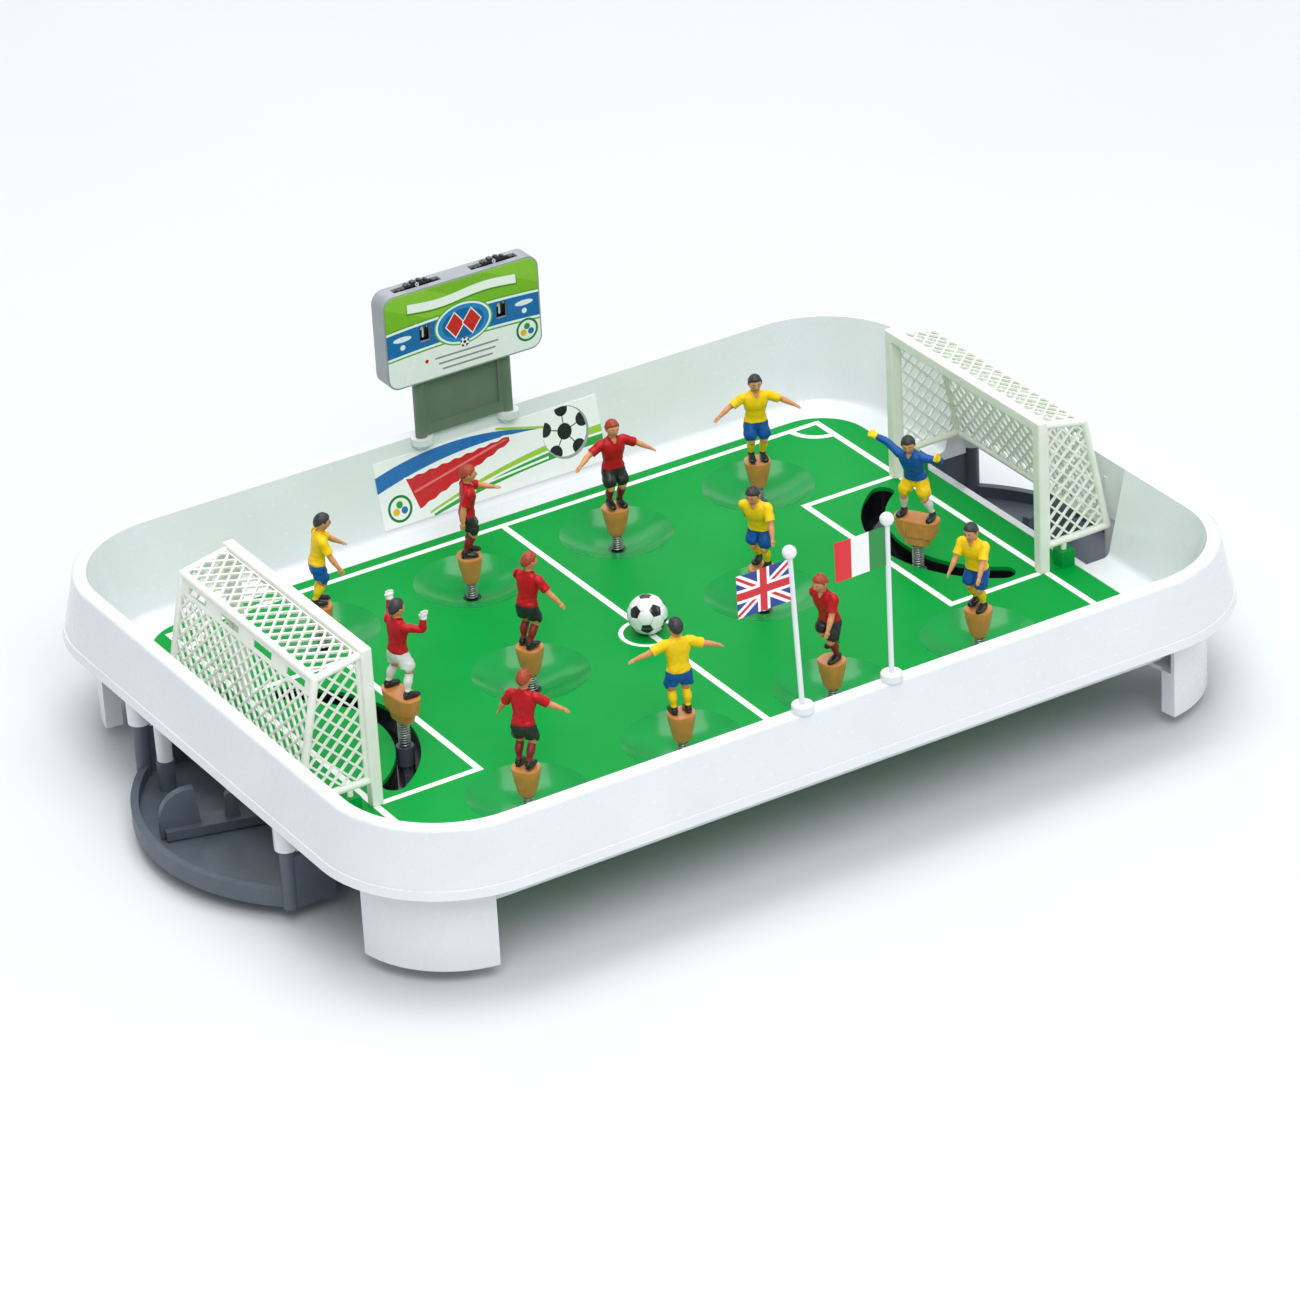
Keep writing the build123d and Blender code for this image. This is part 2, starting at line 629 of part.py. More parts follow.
def lever(end):
    """Keeper lever of one end, at its resting angle: hub, arm, spring post, handle and fins."""
    base = lever_bottom()
    part = Pos(0, 0, 0) * post(0, 0, base, lever_top(), HUB_R)
    part += block(-ARC_R, 0, -ARM_WIDTH / 2, ARM_WIDTH / 2, ARM_HEIGHT, ARM_HEIGHT + ARM_THICK)
    part += post(-ARC_R, 0, ARM_HEIGHT, ARM_HEIGHT + ARM_THICK, ARM_WIDTH / 2)
    part += post(-ARC_R, 0, ARM_HEIGHT + 1, KEEPER_SEAT_TOP - 1, POST_R)
    part += post(-ARC_R, 0, LINER_BOTTOM + LINER_WALL + 1, KEEPER_SEAT_TOP, SEAT_R)
    part += post(-ARC_R, 0, KEEPER_SEAT_TOP - 1, KEEPER_SEAT_TOP + STUB_LENGTH, STUB_R)
    half = HANDLE_WIDTH / 2
    part += block(0, HANDLE_REACH - 2, -half, half, base, base + HANDLE_THICK)
    part += fin(HANDLE_REACH - FIN_START, HANDLE_REACH, FIN_TOP - 1, FIN_CURVE)
    part += fin(*INNER_FIN, FIN_TOP - INNER_FIN_DROP, INNER_FIN_CURVE)
    part -= post(0, 0, 0, RIM_HEIGHT, PIVOT_POST_R + RUNNING_GAP)
    turned = Rot(0, 0, LEVER_REST) * part
    if end < 0:
        turned = Rot(0, 0, -LEVER_REST) * (Rot(0, 0, 180) * part)
    return Pos(end * PIVOT_X, 0, 0) * turned


# ---- figures ----
def limb(a, b, radius_a, radius_b):
    """Tapered limb with a round end at each joint."""
    start = Vector(*a)
    end = Vector(*b)
    mid = (start + end) * 0.5
    plane = Plane(origin=mid, z_dir=end - start)
    body = plane.location * Cone(radius_a, radius_b, (end - start).length)
    return body + Pos(start) * Sphere(radius_a) + Pos(end) * Sphere(radius_b)


def heading(side, swing, lift):
    """Unit vector of a limb swung forward and raised sideways from hanging down, in degrees."""
    turn = math.radians(swing)
    rise = math.radians(lift)
    level = math.cos(rise)
    return Vector(math.sin(turn) * level, side * math.sin(rise), -math.cos(turn) * level)


def arm(side, pose):
    """One arm; pose is (swing, raise) of the upper arm, then of the forearm where it is folded."""
    upper = heading(side, *pose[:2])
    fore = heading(side, *pose[2:]) if len(pose) > 2 else (upper + Vector(0.25, 0, 0)).normalized()
    shoulder = Vector(0, side * SHOULDER_OUT, CHEST_Z)
    elbow = shoulder + upper * UPPER_ARM
    hand = elbow + fore * FORE_ARM
    sleeve = limb(tuple(shoulder), tuple(elbow), SLEEVE_R, ELBOW_R)
    return sleeve + limb(tuple(elbow), tuple(hand), ELBOW_R, HAND_R)


def figure(left, right, lean, stance):
    """Plain standing figure facing +X with its soles at z = 0."""
    knee_out = (stance + HIP_OUT) / 2 + 0.1
    boot = Box(BOOT_LENGTH, BOOT_WIDTH, BOOT_HEIGHT)
    body = Pos(BOOT_FORWARD, stance, BOOT_HEIGHT / 2) * boot
    body += Pos(BOOT_FORWARD, -stance, BOOT_HEIGHT / 2) * boot
    for side in (-1, 1):
        knee = (KNEE_FORWARD, side * knee_out, KNEE_Z)
        body += limb((0, side * stance, BOOT_HEIGHT), knee, ANKLE_R, KNEE_R)
        body += limb(knee, (0, side * HIP_OUT, HIP_Z), KNEE_R, THIGH_R)
    shorts = Pos(0, 0, SHORTS_Z) * RectangleRounded(8.0, 13.0, 3.0)
    waist = Pos(0, 0, WAIST_Z) * RectangleRounded(6.6, 10.0, 3.0)
    chest = Pos(0, 0, CHEST_Z) * RectangleRounded(7.6, 14.0, 3.4)
    body += loft([shorts, waist], ruled=True)
    upper = loft([waist, chest], ruled=True)
    upper += post(0, 0, WAIST_Z + 10, CHEST_Z + 4, NECK_R)
    upper += Pos(0.3, 0, FIGURE_HEIGHT - HEAD_R - 0.6) * Sphere(HEAD_R)
    upper += arm(1, left) + arm(-1, right)
    hips = Pos(0, 0, HIP_Z)
    return body + hips * Rot(0, lean, 0) * Pos(0, 0, -HIP_Z) * upper


def cup():
    """Base that a field player stands on, with the stub that plugs into the spring."""
    length = 2 * CUP_TOP_R
    depth = length - 1
    top_face = Pos(0, 0, CUP_BOTTOM + CUP_HEIGHT) * RectangleRounded(depth, length, depth / 2 - 0.2)
    foot = RectangleRounded(2 * CUP_BOTTOM_R, 2 * CUP_BOTTOM_R + 0.4, CUP_BOTTOM_R - 0.1)
    base = loft([Pos(0, 0, CUP_BOTTOM) * foot, top_face], ruled=True)
    return base + post(0, 0, CUP_BOTTOM - STUB_LENGTH, CUP_BOTTOM + 1, STUB_R)


def rounded_face(depth, length, z):
    """Horizontal face with nearly semicircular ends."""
    return Pos(0, 0, z) * RectangleRounded(depth, length, depth / 2 - 0.2)


def keeper_cup():
    """Wide base of a goalkeeper on its narrower stem, with the stub that plugs into the spring."""
    bottom = KEEPER_CUP_BOTTOM
    step = bottom + KEEPER_STEM_HEIGHT
    top = bottom + CUP_HEIGHT
    foot_length = KEEPER_STEM_LENGTH - 2 * KEEPER_STEM_TAPER
    narrow = rounded_face(KEEPER_STEM_DEPTH - KEEPER_STEM_TAPER, foot_length, bottom)
    stem = loft([narrow, rounded_face(KEEPER_STEM_DEPTH, KEEPER_STEM_LENGTH, step)], ruled=True)
    under_length = KEEPER_BASE_LENGTH - 2 * KEEPER_BASE_TAPER
    under = rounded_face(KEEPER_BASE_DEPTH - KEEPER_BASE_TAPER, under_length, step)
    upper = loft([under, rounded_face(KEEPER_BASE_DEPTH, KEEPER_BASE_LENGTH, top)], ruled=True)
    return stem + upper + post(0, 0, bottom - STUB_LENGTH, bottom + 1, STUB_R)


def player(spec):
    x, y, facing, left, right, lean = spec
    piece = cup() + Pos(0, 0, CUP_BOTTOM + CUP_HEIGHT) * figure(left, right, lean, STANCE)
    return Pos(x, y, 0) * Rot(0, 0, facing) * piece


def keeper_place(end):
    """Where a resting keeper stands, and the way it faces (towards the other goal)."""
    angle = math.radians(LEVER_REST)
    x = end * (PIVOT_X - ARC_R * math.cos(angle))
    return x, -ARC_R * math.sin(angle), (180 + LEVER_REST if end > 0 else -LEVER_REST)


def keeper(spec):
    end, turned, left, right, lean = spec
    x, y, facing = keeper_place(end)
    body = figure(left, right, lean, KEEPER_STANCE)
    piece = keeper_cup() + Pos(0, 0, KEEPER_CUP_BOTTOM + CUP_HEIGHT) * body
    return Pos(x, y, 0) * Rot(0, 0, facing + turned) * piece


def spring(x, y, bottom, length):
    tube = Cylinder(SPRING_R, length) - Cylinder(SPRING_BORE_R, length)
    return Pos(x, y, bottom + length / 2) * tube


# ---- goals ----
def goal_frame():
    half = GOAL_HALF_WIDTH
    size = POST_SIZE / 2
    frame = block(GOAL_X - size, GOAL_X + size, -half - size, half + size, GOAL_TOP - POST_SIZE, GOAL_TOP)
    for side in (-1, 1):
        y = side * half
        frame += block(GOAL_X - size, GOAL_X + size, y - size, y + size, PITCH_HEIGHT, GOAL_TOP)
    frame = fillet(frame.edges(), 0.9)
    for side in (-1, 1):
        y = side * half
        crown = (GOAL_X, y, GOAL_TOP - size)
        shoulder = (GOAL_BACK_X, y, GOAL_BACK_TOP)
        foot = (GOAL_FOOT_X, y, GOAL_BAR_Z)
        frame += rod(crown, shoulder, GOAL_BAR_R) + rod(shoulder, foot, GOAL_BAR_R)
        frame += rod(foot, (GOAL_X, y, GOAL_BAR_Z), GOAL_BAR_R)
        frame += Pos(*shoulder) * Sphere(GOAL_BAR_R) + Pos(*foot) * Sphere(GOAL_BAR_R)
        frame += post(PEG_X, y, PITCH_HEIGHT + 2, GOAL_BAR_Z, PEG_R)
        frame += post(GOAL_X, y, PITCH_HEIGHT - FOOT_PIN_LENGTH, PITCH_HEIGHT + 1, FOOT_PIN_R)
    for x, z in ((GOAL_BACK_X, GOAL_BACK_TOP), (GOAL_FOOT_X, GOAL_BAR_Z)):
        frame += rod((x, -half, z), (x, half, z), GOAL_BAR_R)
    return frame


def clip(points, outline):
    """Cut a convex polygon to a convex outline, both listed anticlockwise."""
    result = points
    for index, (ax, ay) in enumerate(outline):
        bx, by = outline[(index + 1) % len(outline)]
        kept = []
        for place, (px, py) in enumerate(result):
            qx, qy = result[(place + 1) % len(result)]
            side_p = (bx - ax) * (py - ay) - (by - ay) * (px - ax)
            side_q = (bx - ax) * (qy - ay) - (by - ay) * (qx - ax)
            if side_p >= 0:
                kept.append((px, py))
            if side_p * side_q < 0:
                share = side_p / (side_p - side_q)
                kept.append((px + share * (qx - px), py + share * (qy - py)))
        result = kept
        if not result:
            break
    return result


def polygon_area(points):
    total = 0.0
    for index, (px, py) in enumerate(points):
        qx, qy = points[(index + 1) % len(points)]
        total += px * qy - qx * py
    return total / 2


def diamond_holes(outline):
    """Diamond openings of a net, clipped to a convex outline."""
    reach = (NET_PITCH - NET_STRAND) / 2
    xs = [point[0] for point in outline]
    ys = [point[1] for point in outline]
    columns = int((max(xs) - min(xs)) / NET_PITCH * 2) + 3
    rows = int((max(ys) - min(ys)) / NET_PITCH * 2) + 3
    holes = []
    for column in range(-1, columns):
        for row in range(-1, rows):
            if (column + row) % 2:
                continue
            cx = min(xs) + column * NET_PITCH / 2
            cy = min(ys) + row * NET_PITCH / 2
            diamond = [(cx - reach, cy), (cx, cy - reach), (cx + reach, cy), (cx, cy + reach)]
            cut = clip(diamond, outline)
            if len(cut) > 2 and polygon_area(cut) > 1.0:
                holes.append(cut)
    return holes


def inset_polygon(outline, margin):
    """Convex outline moved inwards by a margin, by shifting each edge and meeting them again."""
    count = len(outline)
    lines = []
    for index in range(count):
        ax, ay = outline[index]
        bx, by = outline[(index + 1) % count]
        length = math.hypot(bx - ax, by - ay)
        nx, ny = -(by - ay) / length, (bx - ax) / length
        lines.append((ax + nx * margin, ay + ny * margin, bx - ax, by - ay))
    points = []
    for index in range(count):
        px, py, ux, uy = lines[index - 1]
        qx, qy, vx, vy = lines[index]
        share = ((qx - px) * vy - (qy - py) * vx) / (ux * vy - uy * vx)
        points.append((px + share * ux, py + share * uy))
    return points


def net_panel(plane, outline, extra=(), net=None):
    """Flat panel of strands on a plane, centred on it; net bounds the diamonds."""
    holes = diamond_holes(net or inset_polygon(outline, NET_STRAND / 2)) + list(extra)
    inner = [Wire.make_polygon([Vector(x, y) for x, y in hole], close=True) for hole in holes]
    outer = Wire.make_polygon([Vector(x, y) for x, y in outline], close=True)
    face = Pos(0, 0, -NET_THICK / 2) * Face(outer, inner)
    return plane.location * extrude(face, NET_THICK, dir=(0, 0, 1))


def goal_back_net():
    half = GOAL_HALF_WIDTH
    rise = GOAL_BACK_TOP - GOAL_BAR_Z
    tall = math.hypot(GOAL_BACK_RUN, rise) / 2
    centre = ((GOAL_BACK_X + GOAL_FOOT_X) / 2, 0, (GOAL_BACK_TOP + GOAL_BAR_Z) / 2)
    plane = Plane(origin=centre, x_dir=(0, 1, 0), z_dir=(rise, 0, GOAL_BACK_RUN))
    outline = [(-half, -tall), (half, -tall), (half, tall), (-half, tall)]
    edge = half - GOAL_BAR_R
    strip = tall - GOAL_BAR_R - STRIP_HEIGHT
    net = [(-edge, GOAL_BAR_R - tall), (edge, GOAL_BAR_R - tall), (edge, strip), (-edge, strip)]
    low = strip + (STRIP_HEIGHT - STRIP_WINDOW_HEIGHT) / 2
    high = low + STRIP_WINDOW_HEIGHT
    windows = []
    for index in range(4):
        x = (index - 1.5) * STRIP_WINDOW_PITCH
        left = x - STRIP_WINDOW_LENGTH / 2
        right = x + STRIP_WINDOW_LENGTH / 2
        windows.append([(left, low), (right, low), (right, high), (left, high)])
    return net_panel(plane, outline, windows, net)


def goal_top_net():
    half = GOAL_HALF_WIDTH
    front_x = GOAL_X + POST_SIZE / 2
    front_z = GOAL_TOP - POST_SIZE / 2
    run = GOAL_BACK_X - front_x
    drop = front_z - GOAL_BACK_TOP
    deep = math.hypot(run, drop) / 2
    centre = ((GOAL_BACK_X + front_x) / 2, 0, (GOAL_BACK_TOP + front_z) / 2)
    plane = Plane(origin=centre, x_dir=(0, 1, 0), z_dir=(-drop, 0, -run))
    outline = [(-half, -deep), (half, -deep), (half, deep), (-half, deep)]
    return net_panel(plane, outline)


def goal_side_nets():
    front_x = GOAL_X + POST_SIZE / 2
    outline = [
        (front_x, GOAL_BAR_Z),
        (GOAL_FOOT_X, GOAL_BAR_Z),
        (GOAL_BACK_X, GOAL_BACK_TOP),
        (front_x, GOAL_TOP - POST_SIZE / 2),
    ]
    nets = []
    for side in (-1, 1):
        plane = Plane(origin=(0, side * GOAL_HALF_WIDTH, 0), x_dir=(1, 0, 0), z_dir=(0, -1, 0))
        nets.append(net_panel(plane, outline, net=inset_polygon(outline, GOAL_BAR_R)))
    return Compound(children=nets)


# ---- legs and screws ----
def leg_flange_top():
    return FLOOR_BOTTOM - LEG_BOSS_DROP


def leg(sign_x, sign_y):
    """Curved corner shell, open inside, with two end fins and the screwed web."""
    shell = ring_sector(LEG_OUTER_R - LEG_WALL, LEG_OUTER_R, LEG_SPAN / 2, 0, LEG_TOP)
    flange_top = leg_flange_top()
    flange_bottom = flange_top - LEG_WEB_THICK
    shell += ring_sector(LEG_WEB_INNER_R, LEG_OUTER_R - 1, LEG_SPAN / 2 - 2, flange_bottom, flange_top)
    thin = math.degrees(LEG_WALL / 2 / LEG_OUTER_R)
    for side in (-1, 1):
        fin_root = LEG_OUTER_R - LEG_FIN_DEPTH
        fin_plate = block(fin_root, LEG_OUTER_R - 1, -LEG_WALL / 2, LEG_WALL / 2, 0, LEG_FIN_TOP)
        shell += Rot(0, 0, side * (LEG_SPAN / 2 - thin)) * fin_plate
    diagonal = math.degrees(math.atan2(sign_y, sign_x))
    shell = Pos(sign_x * CORNER_X, sign_y * CORNER_Y, 0) * Rot(0, 0, diagonal) * shell
    for x, y in leg_screw_points(sign_x, sign_y):
        shell -= post(x, y, 0, flange_top + 1, SCREW_HOLE_R)
    return shell


def screw(x, y, seat_z, bite):
    """Upward screw whose head bears on a face at seat_z."""
    head = post(x, y, seat_z - SCREW_HEAD_THICK, seat_z, SCREW_HEAD_R)
    return head + post(x, y, seat_z - 0.1, seat_z + bite, SCREW_R)


def screws():
    group = []
    under_web = leg_flange_top() - LEG_WEB_THICK
    for sign_x, sign_y in CORNERS.values():
        for x, y in leg_screw_points(sign_x, sign_y):
            group.append(screw(x, y, under_web, LEG_WEB_THICK + SCREW_BITE - 0.5))
    for end in (-1, 1):
        top = lever_top() + 2 * TOUCH_GAP
        head = post(end * PIVOT_X, 0, top, top + SCREW_HEAD_THICK, PIVOT_POST_R + 2.0)
        group.append(head + post(end * PIVOT_X, 0, top - SCREW_BITE, top + 0.1, SCREW_R))
    back = BOARD_Y + BOARD_DEPTH / 2
    for x, z in BOARD_SCREWS:
        head = rod((x, back, z), (x, back + SCREW_HEAD_THICK, z), SCREW_HEAD_R)
        group.append(head + rod((x, BOARD_Y - 3, z), (x, back + 0.1, z), SCREW_R))
    return Compound(children=group)


# ---- scoreboard ----
def board_plate(y0, y1, inset):
    """Rounded plate of the scoreboard's outline between two depths."""
    centre = (0, y0, BOARD_BOTTOM + BOARD_HEIGHT / 2)
    plane = Plane(origin=centre, x_dir=(1, 0, 0), z_dir=(0, -1, 0))
    width = BOARD_WIDTH - 2 * inset
    height = BOARD_HEIGHT - 2 * inset
    outline = plane * RectangleRounded(width, height, BOARD_CORNER_R - inset)
    return extrude(outline, -(y1 - y0))


def board_cuts():
    """Wheel slots in the top edge and the stand's slot in the bottom edge."""
    half = SLOT_DEPTH / 2
    cuts = []
    for side in (-1, 1):
        x = side * WINDOW_X
        reach = SLOT_LENGTH / 2
        cuts.append(block(x - reach, x + reach, BOARD_Y - half, BOARD_Y + half, WHEEL_Z, BOARD_TOP + 1))
    tongue = TONGUE_WIDTH / 2 + TOUCH_GAP
    thick = STAND_THICK / 2 + TOUCH_GAP
    low = BOARD_BOTTOM - 1
    cuts.append(block(-tongue, tongue, BOARD_Y - thick, BOARD_Y + thick, low, BOARD_BOTTOM + 2 * BOARD_WALL))
    return cuts


def scoreboard_front():
    shell = board_plate(BOARD_FRONT_Y, BOARD_Y, 0)
    shell -= board_plate(BOARD_FRONT_Y + BOARD_WALL, BOARD_Y, BOARD_WALL)
    for x, z in BOARD_SCREWS:
        shell += rod((x, BOARD_FRONT_Y + 1, z), (x, BOARD_Y, z), SCREW_HEAD_R)
        shell -= rod((x, BOARD_Y - 3.5, z), (x, BOARD_Y + 1, z), SCREW_R + TOUCH_GAP)
    for cut in board_cuts():
        shell -= cut
    for side in (-1, 1):
        shell -= window_cut(side)
    return shell


def window_cut(side):
    x = side * WINDOW_X
    half_x = WINDOW_WIDTH / 2
    half_z = WINDOW_HEIGHT / 2
    front = BOARD_FRONT_Y - 2 * CARD_THICK
    back = BOARD_FRONT_Y + 2 * BOARD_WALL
    return block(x - half_x, x + half_x, front, back, WINDOW_Z - half_z, WINDOW_Z + half_z)


def scoreboard_back():
    back = BOARD_Y + BOARD_DEPTH / 2
    shell = board_plate(BOARD_Y, back, 0)
    shell -= board_plate(BOARD_Y, back - BOARD_WALL, BOARD_WALL)
    for x, z in BOARD_SCREWS:
        shell += rod((x, BOARD_Y, z), (x, back - 1, z), SCREW_HEAD_R)
        shell -= rod((x, BOARD_Y - 1, z), (x, back + 1, z), SCREW_HOLE_R)
    for cut in board_cuts():
        shell -= cut
    for side in (-1, 1):
        x = side * WINDOW_X
        shell += rod((x, BOARD_Y - WHEEL_THICK / 2 - 1, WHEEL_Z), (x, back - 1, WHEEL_Z), WHEEL_PIN_R)
        shoulder_y = BOARD_Y + WHEEL_THICK / 2 + FIT_GAP
        shell += rod((x, shoulder_y, WHEEL_Z), (x, back - 1, WHEEL_Z), WHEEL_PIN_R + 1.5)
    return shell


def score_wheel(side):
    """Knurled number wheel on a pin of the back shell."""
    x = side * WINDOW_X
    front = BOARD_Y - WHEEL_THICK / 2
    back = BOARD_Y + WHEEL_THICK / 2
    outline = Circle(WHEEL_R - WHEEL_TOOTH)
    width = 2 * math.pi * WHEEL_R / WHEEL_TEETH / 2
    for index in range(WHEEL_TEETH):
        tooth = Pos(WHEEL_R - WHEEL_TOOTH, 0) * Rectangle(2 * WHEEL_TOOTH, width)
        outline += Rot(0, 0, index * 360 / WHEEL_TEETH) * tooth
    outline -= Circle(WHEEL_PIN_R + RUNNING_GAP)
    plane = Plane(origin=(x, back, WHEEL_Z), x_dir=(1, 0, 0), z_dir=(0, -1, 0))
    return extrude(plane * outline, back - front)


def scoreboard_card():
    card = board_plate(BOARD_FRONT_Y - CARD_THICK, BOARD_FRONT_Y, CARD_INSET)
    for side in (-1, 1):
        card -= window_cut(side)
    return card


def scoreboard_stand():
    half = STAND_THICK / 2
    panel = block(-STAND_X, STAND_X, BOARD_Y - half, BOARD_Y + half, RIM_HEIGHT + 0.5, BOARD_BOTTOM)
    low = RIM_HEIGHT + 0.5 + STAND_BORDER
    wide = STAND_X - STAND_TUBE_R - 2.0
    front = BOARD_Y - half
    panel -= block(-wide, wide, front - 1, front + STAND_RECESS, low, BOARD_BOTTOM - 2.0)
    tongue = TONGUE_WIDTH / 2
    tongue_top = BOARD_BOTTOM + TONGUE_HEIGHT
    panel += block(-tongue, tongue, BOARD_Y - half, BOARD_Y + half, BOARD_BOTTOM - 1, tongue_top)
    for side in (-1, 1):
        x = side * STAND_X
        panel += post(x, BOARD_Y, RIM_HEIGHT, BOARD_BOTTOM, STAND_TUBE_R)
        bottom = RIM_HEIGHT - PEG_SOCKET_DEPTH + 0.5
        panel += post(x, BOARD_Y, bottom, RIM_HEIGHT + 1, PEG_SOCKET_R - TOUCH_GAP)
    return panel


# ---- flags, banner, ball ----
def flag_tilt(side):
    """Placing of one flag: foot of the pole, and its lean towards -X."""
    lean = FLAG_LEAN if side < 0 else 0.0
    return Pos(side * FLAG_X, -FLAG_Y, RIM_HEIGHT) * Rot(0, -lean, 0)


def flag_pole(side):
    height = FLAG_POLE_TOP - RIM_HEIGHT
    pole = flag_tilt(side) * (Pos(0, 0, height / 2) * Cylinder(FLAG_POLE_R, height))
    pole += flag_tilt(side) * (Pos(0, 0, height + FLAG_BALL_R - 0.5) * Sphere(FLAG_BALL_R))
    base = post(side * FLAG_X, -FLAG_Y, RIM_HEIGHT, RIM_HEIGHT + FLAG_BASE_HEIGHT, FLAG_BASE_R)
    base = fillet(base.faces().sort_by(Axis.Z)[-1].edges(), 1.2)
    peg = post(side * FLAG_X, -FLAG_Y, RIM_HEIGHT - 2 * WALL + 0.5, RIM_HEIGHT + 1, FLAG_PEG_R)
    return (pole & block(-HALF_X, HALF_X, -HALF_Y - 20, 0, RIM_HEIGHT, 2 * FLAG_POLE_TOP)) + base + peg


def flag(side):
    top = FLAG_POLE_TOP - RIM_HEIGHT - 0.5
    sheet = block(-FLAG_WIDTH, -FLAG_POLE_R, -FLAG_THICK / 2, FLAG_THICK / 2, top - FLAG_HEIGHT, top)
    return flag_tilt(side) * sheet


def back_banner():
    rise = RIM_HEIGHT - PITCH_HEIGHT
    slope = math.hypot(WALL_SLOPE_RUN, rise)
    middle = BANNER_FOOT + BANNER_HEIGHT / 2
    y = HALF_Y - RIM_LIP - WALL_SLOPE_RUN + middle * WALL_SLOPE_RUN / slope
    z = PITCH_HEIGHT + middle * rise / slope
    x = (BANNER_LEFT + BANNER_RIGHT) / 2
    plane = Plane(origin=(x, y, z), x_dir=(1, 0, 0), z_dir=(0, -rise, WALL_SLOPE_RUN))
    return extrude(plane * Rectangle(BANNER_RIGHT - BANNER_LEFT, BANNER_HEIGHT), BANNER_THICK)


def ball():
    return Pos(0, 0, PITCH_HEIGHT + BALL_R) * Sphere(BALL_R)


def save_both(make, name):
    """One piece for each end, the left one being the right one turned half a turn."""
    right, left = both_ends(make)
    save(right, name + "_right")
    save(left, name + "_left")


def main():
    os.makedirs("parts", exist_ok=True)
    save(table_tray(), "table_tray")
    save(pitch(), "pitch")
    save(pitch_dishes(), "pitch_dishes")
    save(spring_seats(), "spring_seats")
    for corner, signs in CORNERS.items():
        save(leg(*signs), "leg_" + corner)
    save_both(slot_liner, "slot_liner")
    save_both(end_tray, "end_tray")
    save_both(goal_frame, "goal_frame")
    save_both(goal_back_net, "goal_back_net")
    save_both(goal_top_net, "goal_top_net")
    save_both(goal_side_nets, "goal_side_nets")
    save(lever(-1), "keeper_lever_left")
    save(lever(1), "keeper_lever_right")
    for name, spec in FIELD_PLAYERS.items():
        save(player(spec), name)
        save(spring(spec[0], spec[1], SEAT_TOP, SPRING_FREE), "spring_" + name)
    for name, spec in KEEPERS.items():
        x, y, _ = keeper_place(spec[0])
        save(keeper(spec), name)
        save(spring(x, y, KEEPER_SEAT_TOP, KEEPER_SPRING_FREE), "spring_" + name)
    save(ball(), "ball")
    save(scoreboard_front(), "scoreboard_front")
    save(scoreboard_back(), "scoreboard_back")
    save(scoreboard_card(), "scoreboard_card")
    save(scoreboard_stand(), "scoreboard_stand")
    for side, name in ((-1, "left"), (1, "right")):
        save(score_wheel(side), "score_wheel_" + name)
        save(flag_pole(side), "flag_pole_" + name)
        save(flag(side), "flag_" + name)
    save(back_banner(), "back_banner")
    save(screws(), "screws")


if __name__ == "__main__":
    main()
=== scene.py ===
"""Spring football game: finishes, moulded figures, coil springs, printed art and the studio."""
import json
import logging
import math
from dataclasses import dataclass, field
from enum import Enum

import bpy
import numpy as np
from mathutils import Matrix, Vector

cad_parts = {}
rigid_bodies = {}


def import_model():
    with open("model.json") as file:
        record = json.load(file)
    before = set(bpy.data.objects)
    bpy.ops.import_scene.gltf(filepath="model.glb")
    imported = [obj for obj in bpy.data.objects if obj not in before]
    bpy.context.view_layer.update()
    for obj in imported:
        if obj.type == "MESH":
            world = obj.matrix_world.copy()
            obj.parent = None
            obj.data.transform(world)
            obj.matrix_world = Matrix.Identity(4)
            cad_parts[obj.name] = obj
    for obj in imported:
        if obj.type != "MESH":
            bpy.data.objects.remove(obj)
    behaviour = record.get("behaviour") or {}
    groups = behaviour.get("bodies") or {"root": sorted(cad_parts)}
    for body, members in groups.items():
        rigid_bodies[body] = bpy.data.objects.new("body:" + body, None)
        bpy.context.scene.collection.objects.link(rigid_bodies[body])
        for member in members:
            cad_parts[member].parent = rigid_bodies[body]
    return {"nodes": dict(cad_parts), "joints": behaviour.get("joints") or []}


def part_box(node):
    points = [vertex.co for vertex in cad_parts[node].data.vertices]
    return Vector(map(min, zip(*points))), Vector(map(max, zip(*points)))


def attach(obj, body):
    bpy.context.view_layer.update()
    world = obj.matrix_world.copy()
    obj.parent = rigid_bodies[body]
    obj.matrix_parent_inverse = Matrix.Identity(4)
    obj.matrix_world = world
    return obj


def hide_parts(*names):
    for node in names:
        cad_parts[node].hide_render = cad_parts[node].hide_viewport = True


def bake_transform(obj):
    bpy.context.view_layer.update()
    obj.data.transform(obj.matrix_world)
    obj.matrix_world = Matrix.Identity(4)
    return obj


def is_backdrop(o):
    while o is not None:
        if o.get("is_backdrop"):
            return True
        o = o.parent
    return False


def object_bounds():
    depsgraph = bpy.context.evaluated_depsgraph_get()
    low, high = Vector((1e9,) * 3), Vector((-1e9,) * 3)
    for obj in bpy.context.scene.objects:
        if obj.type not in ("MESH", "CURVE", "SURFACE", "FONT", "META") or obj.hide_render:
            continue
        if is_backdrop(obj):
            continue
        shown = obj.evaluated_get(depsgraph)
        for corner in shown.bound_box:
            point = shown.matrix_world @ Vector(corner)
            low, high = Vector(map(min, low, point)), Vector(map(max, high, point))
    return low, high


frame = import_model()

LOG = logging.getLogger("football")
MM = 0.001
Array = np.ndarray
Socket = bpy.types.NodeSocket
Triple = tuple[float, float, float]


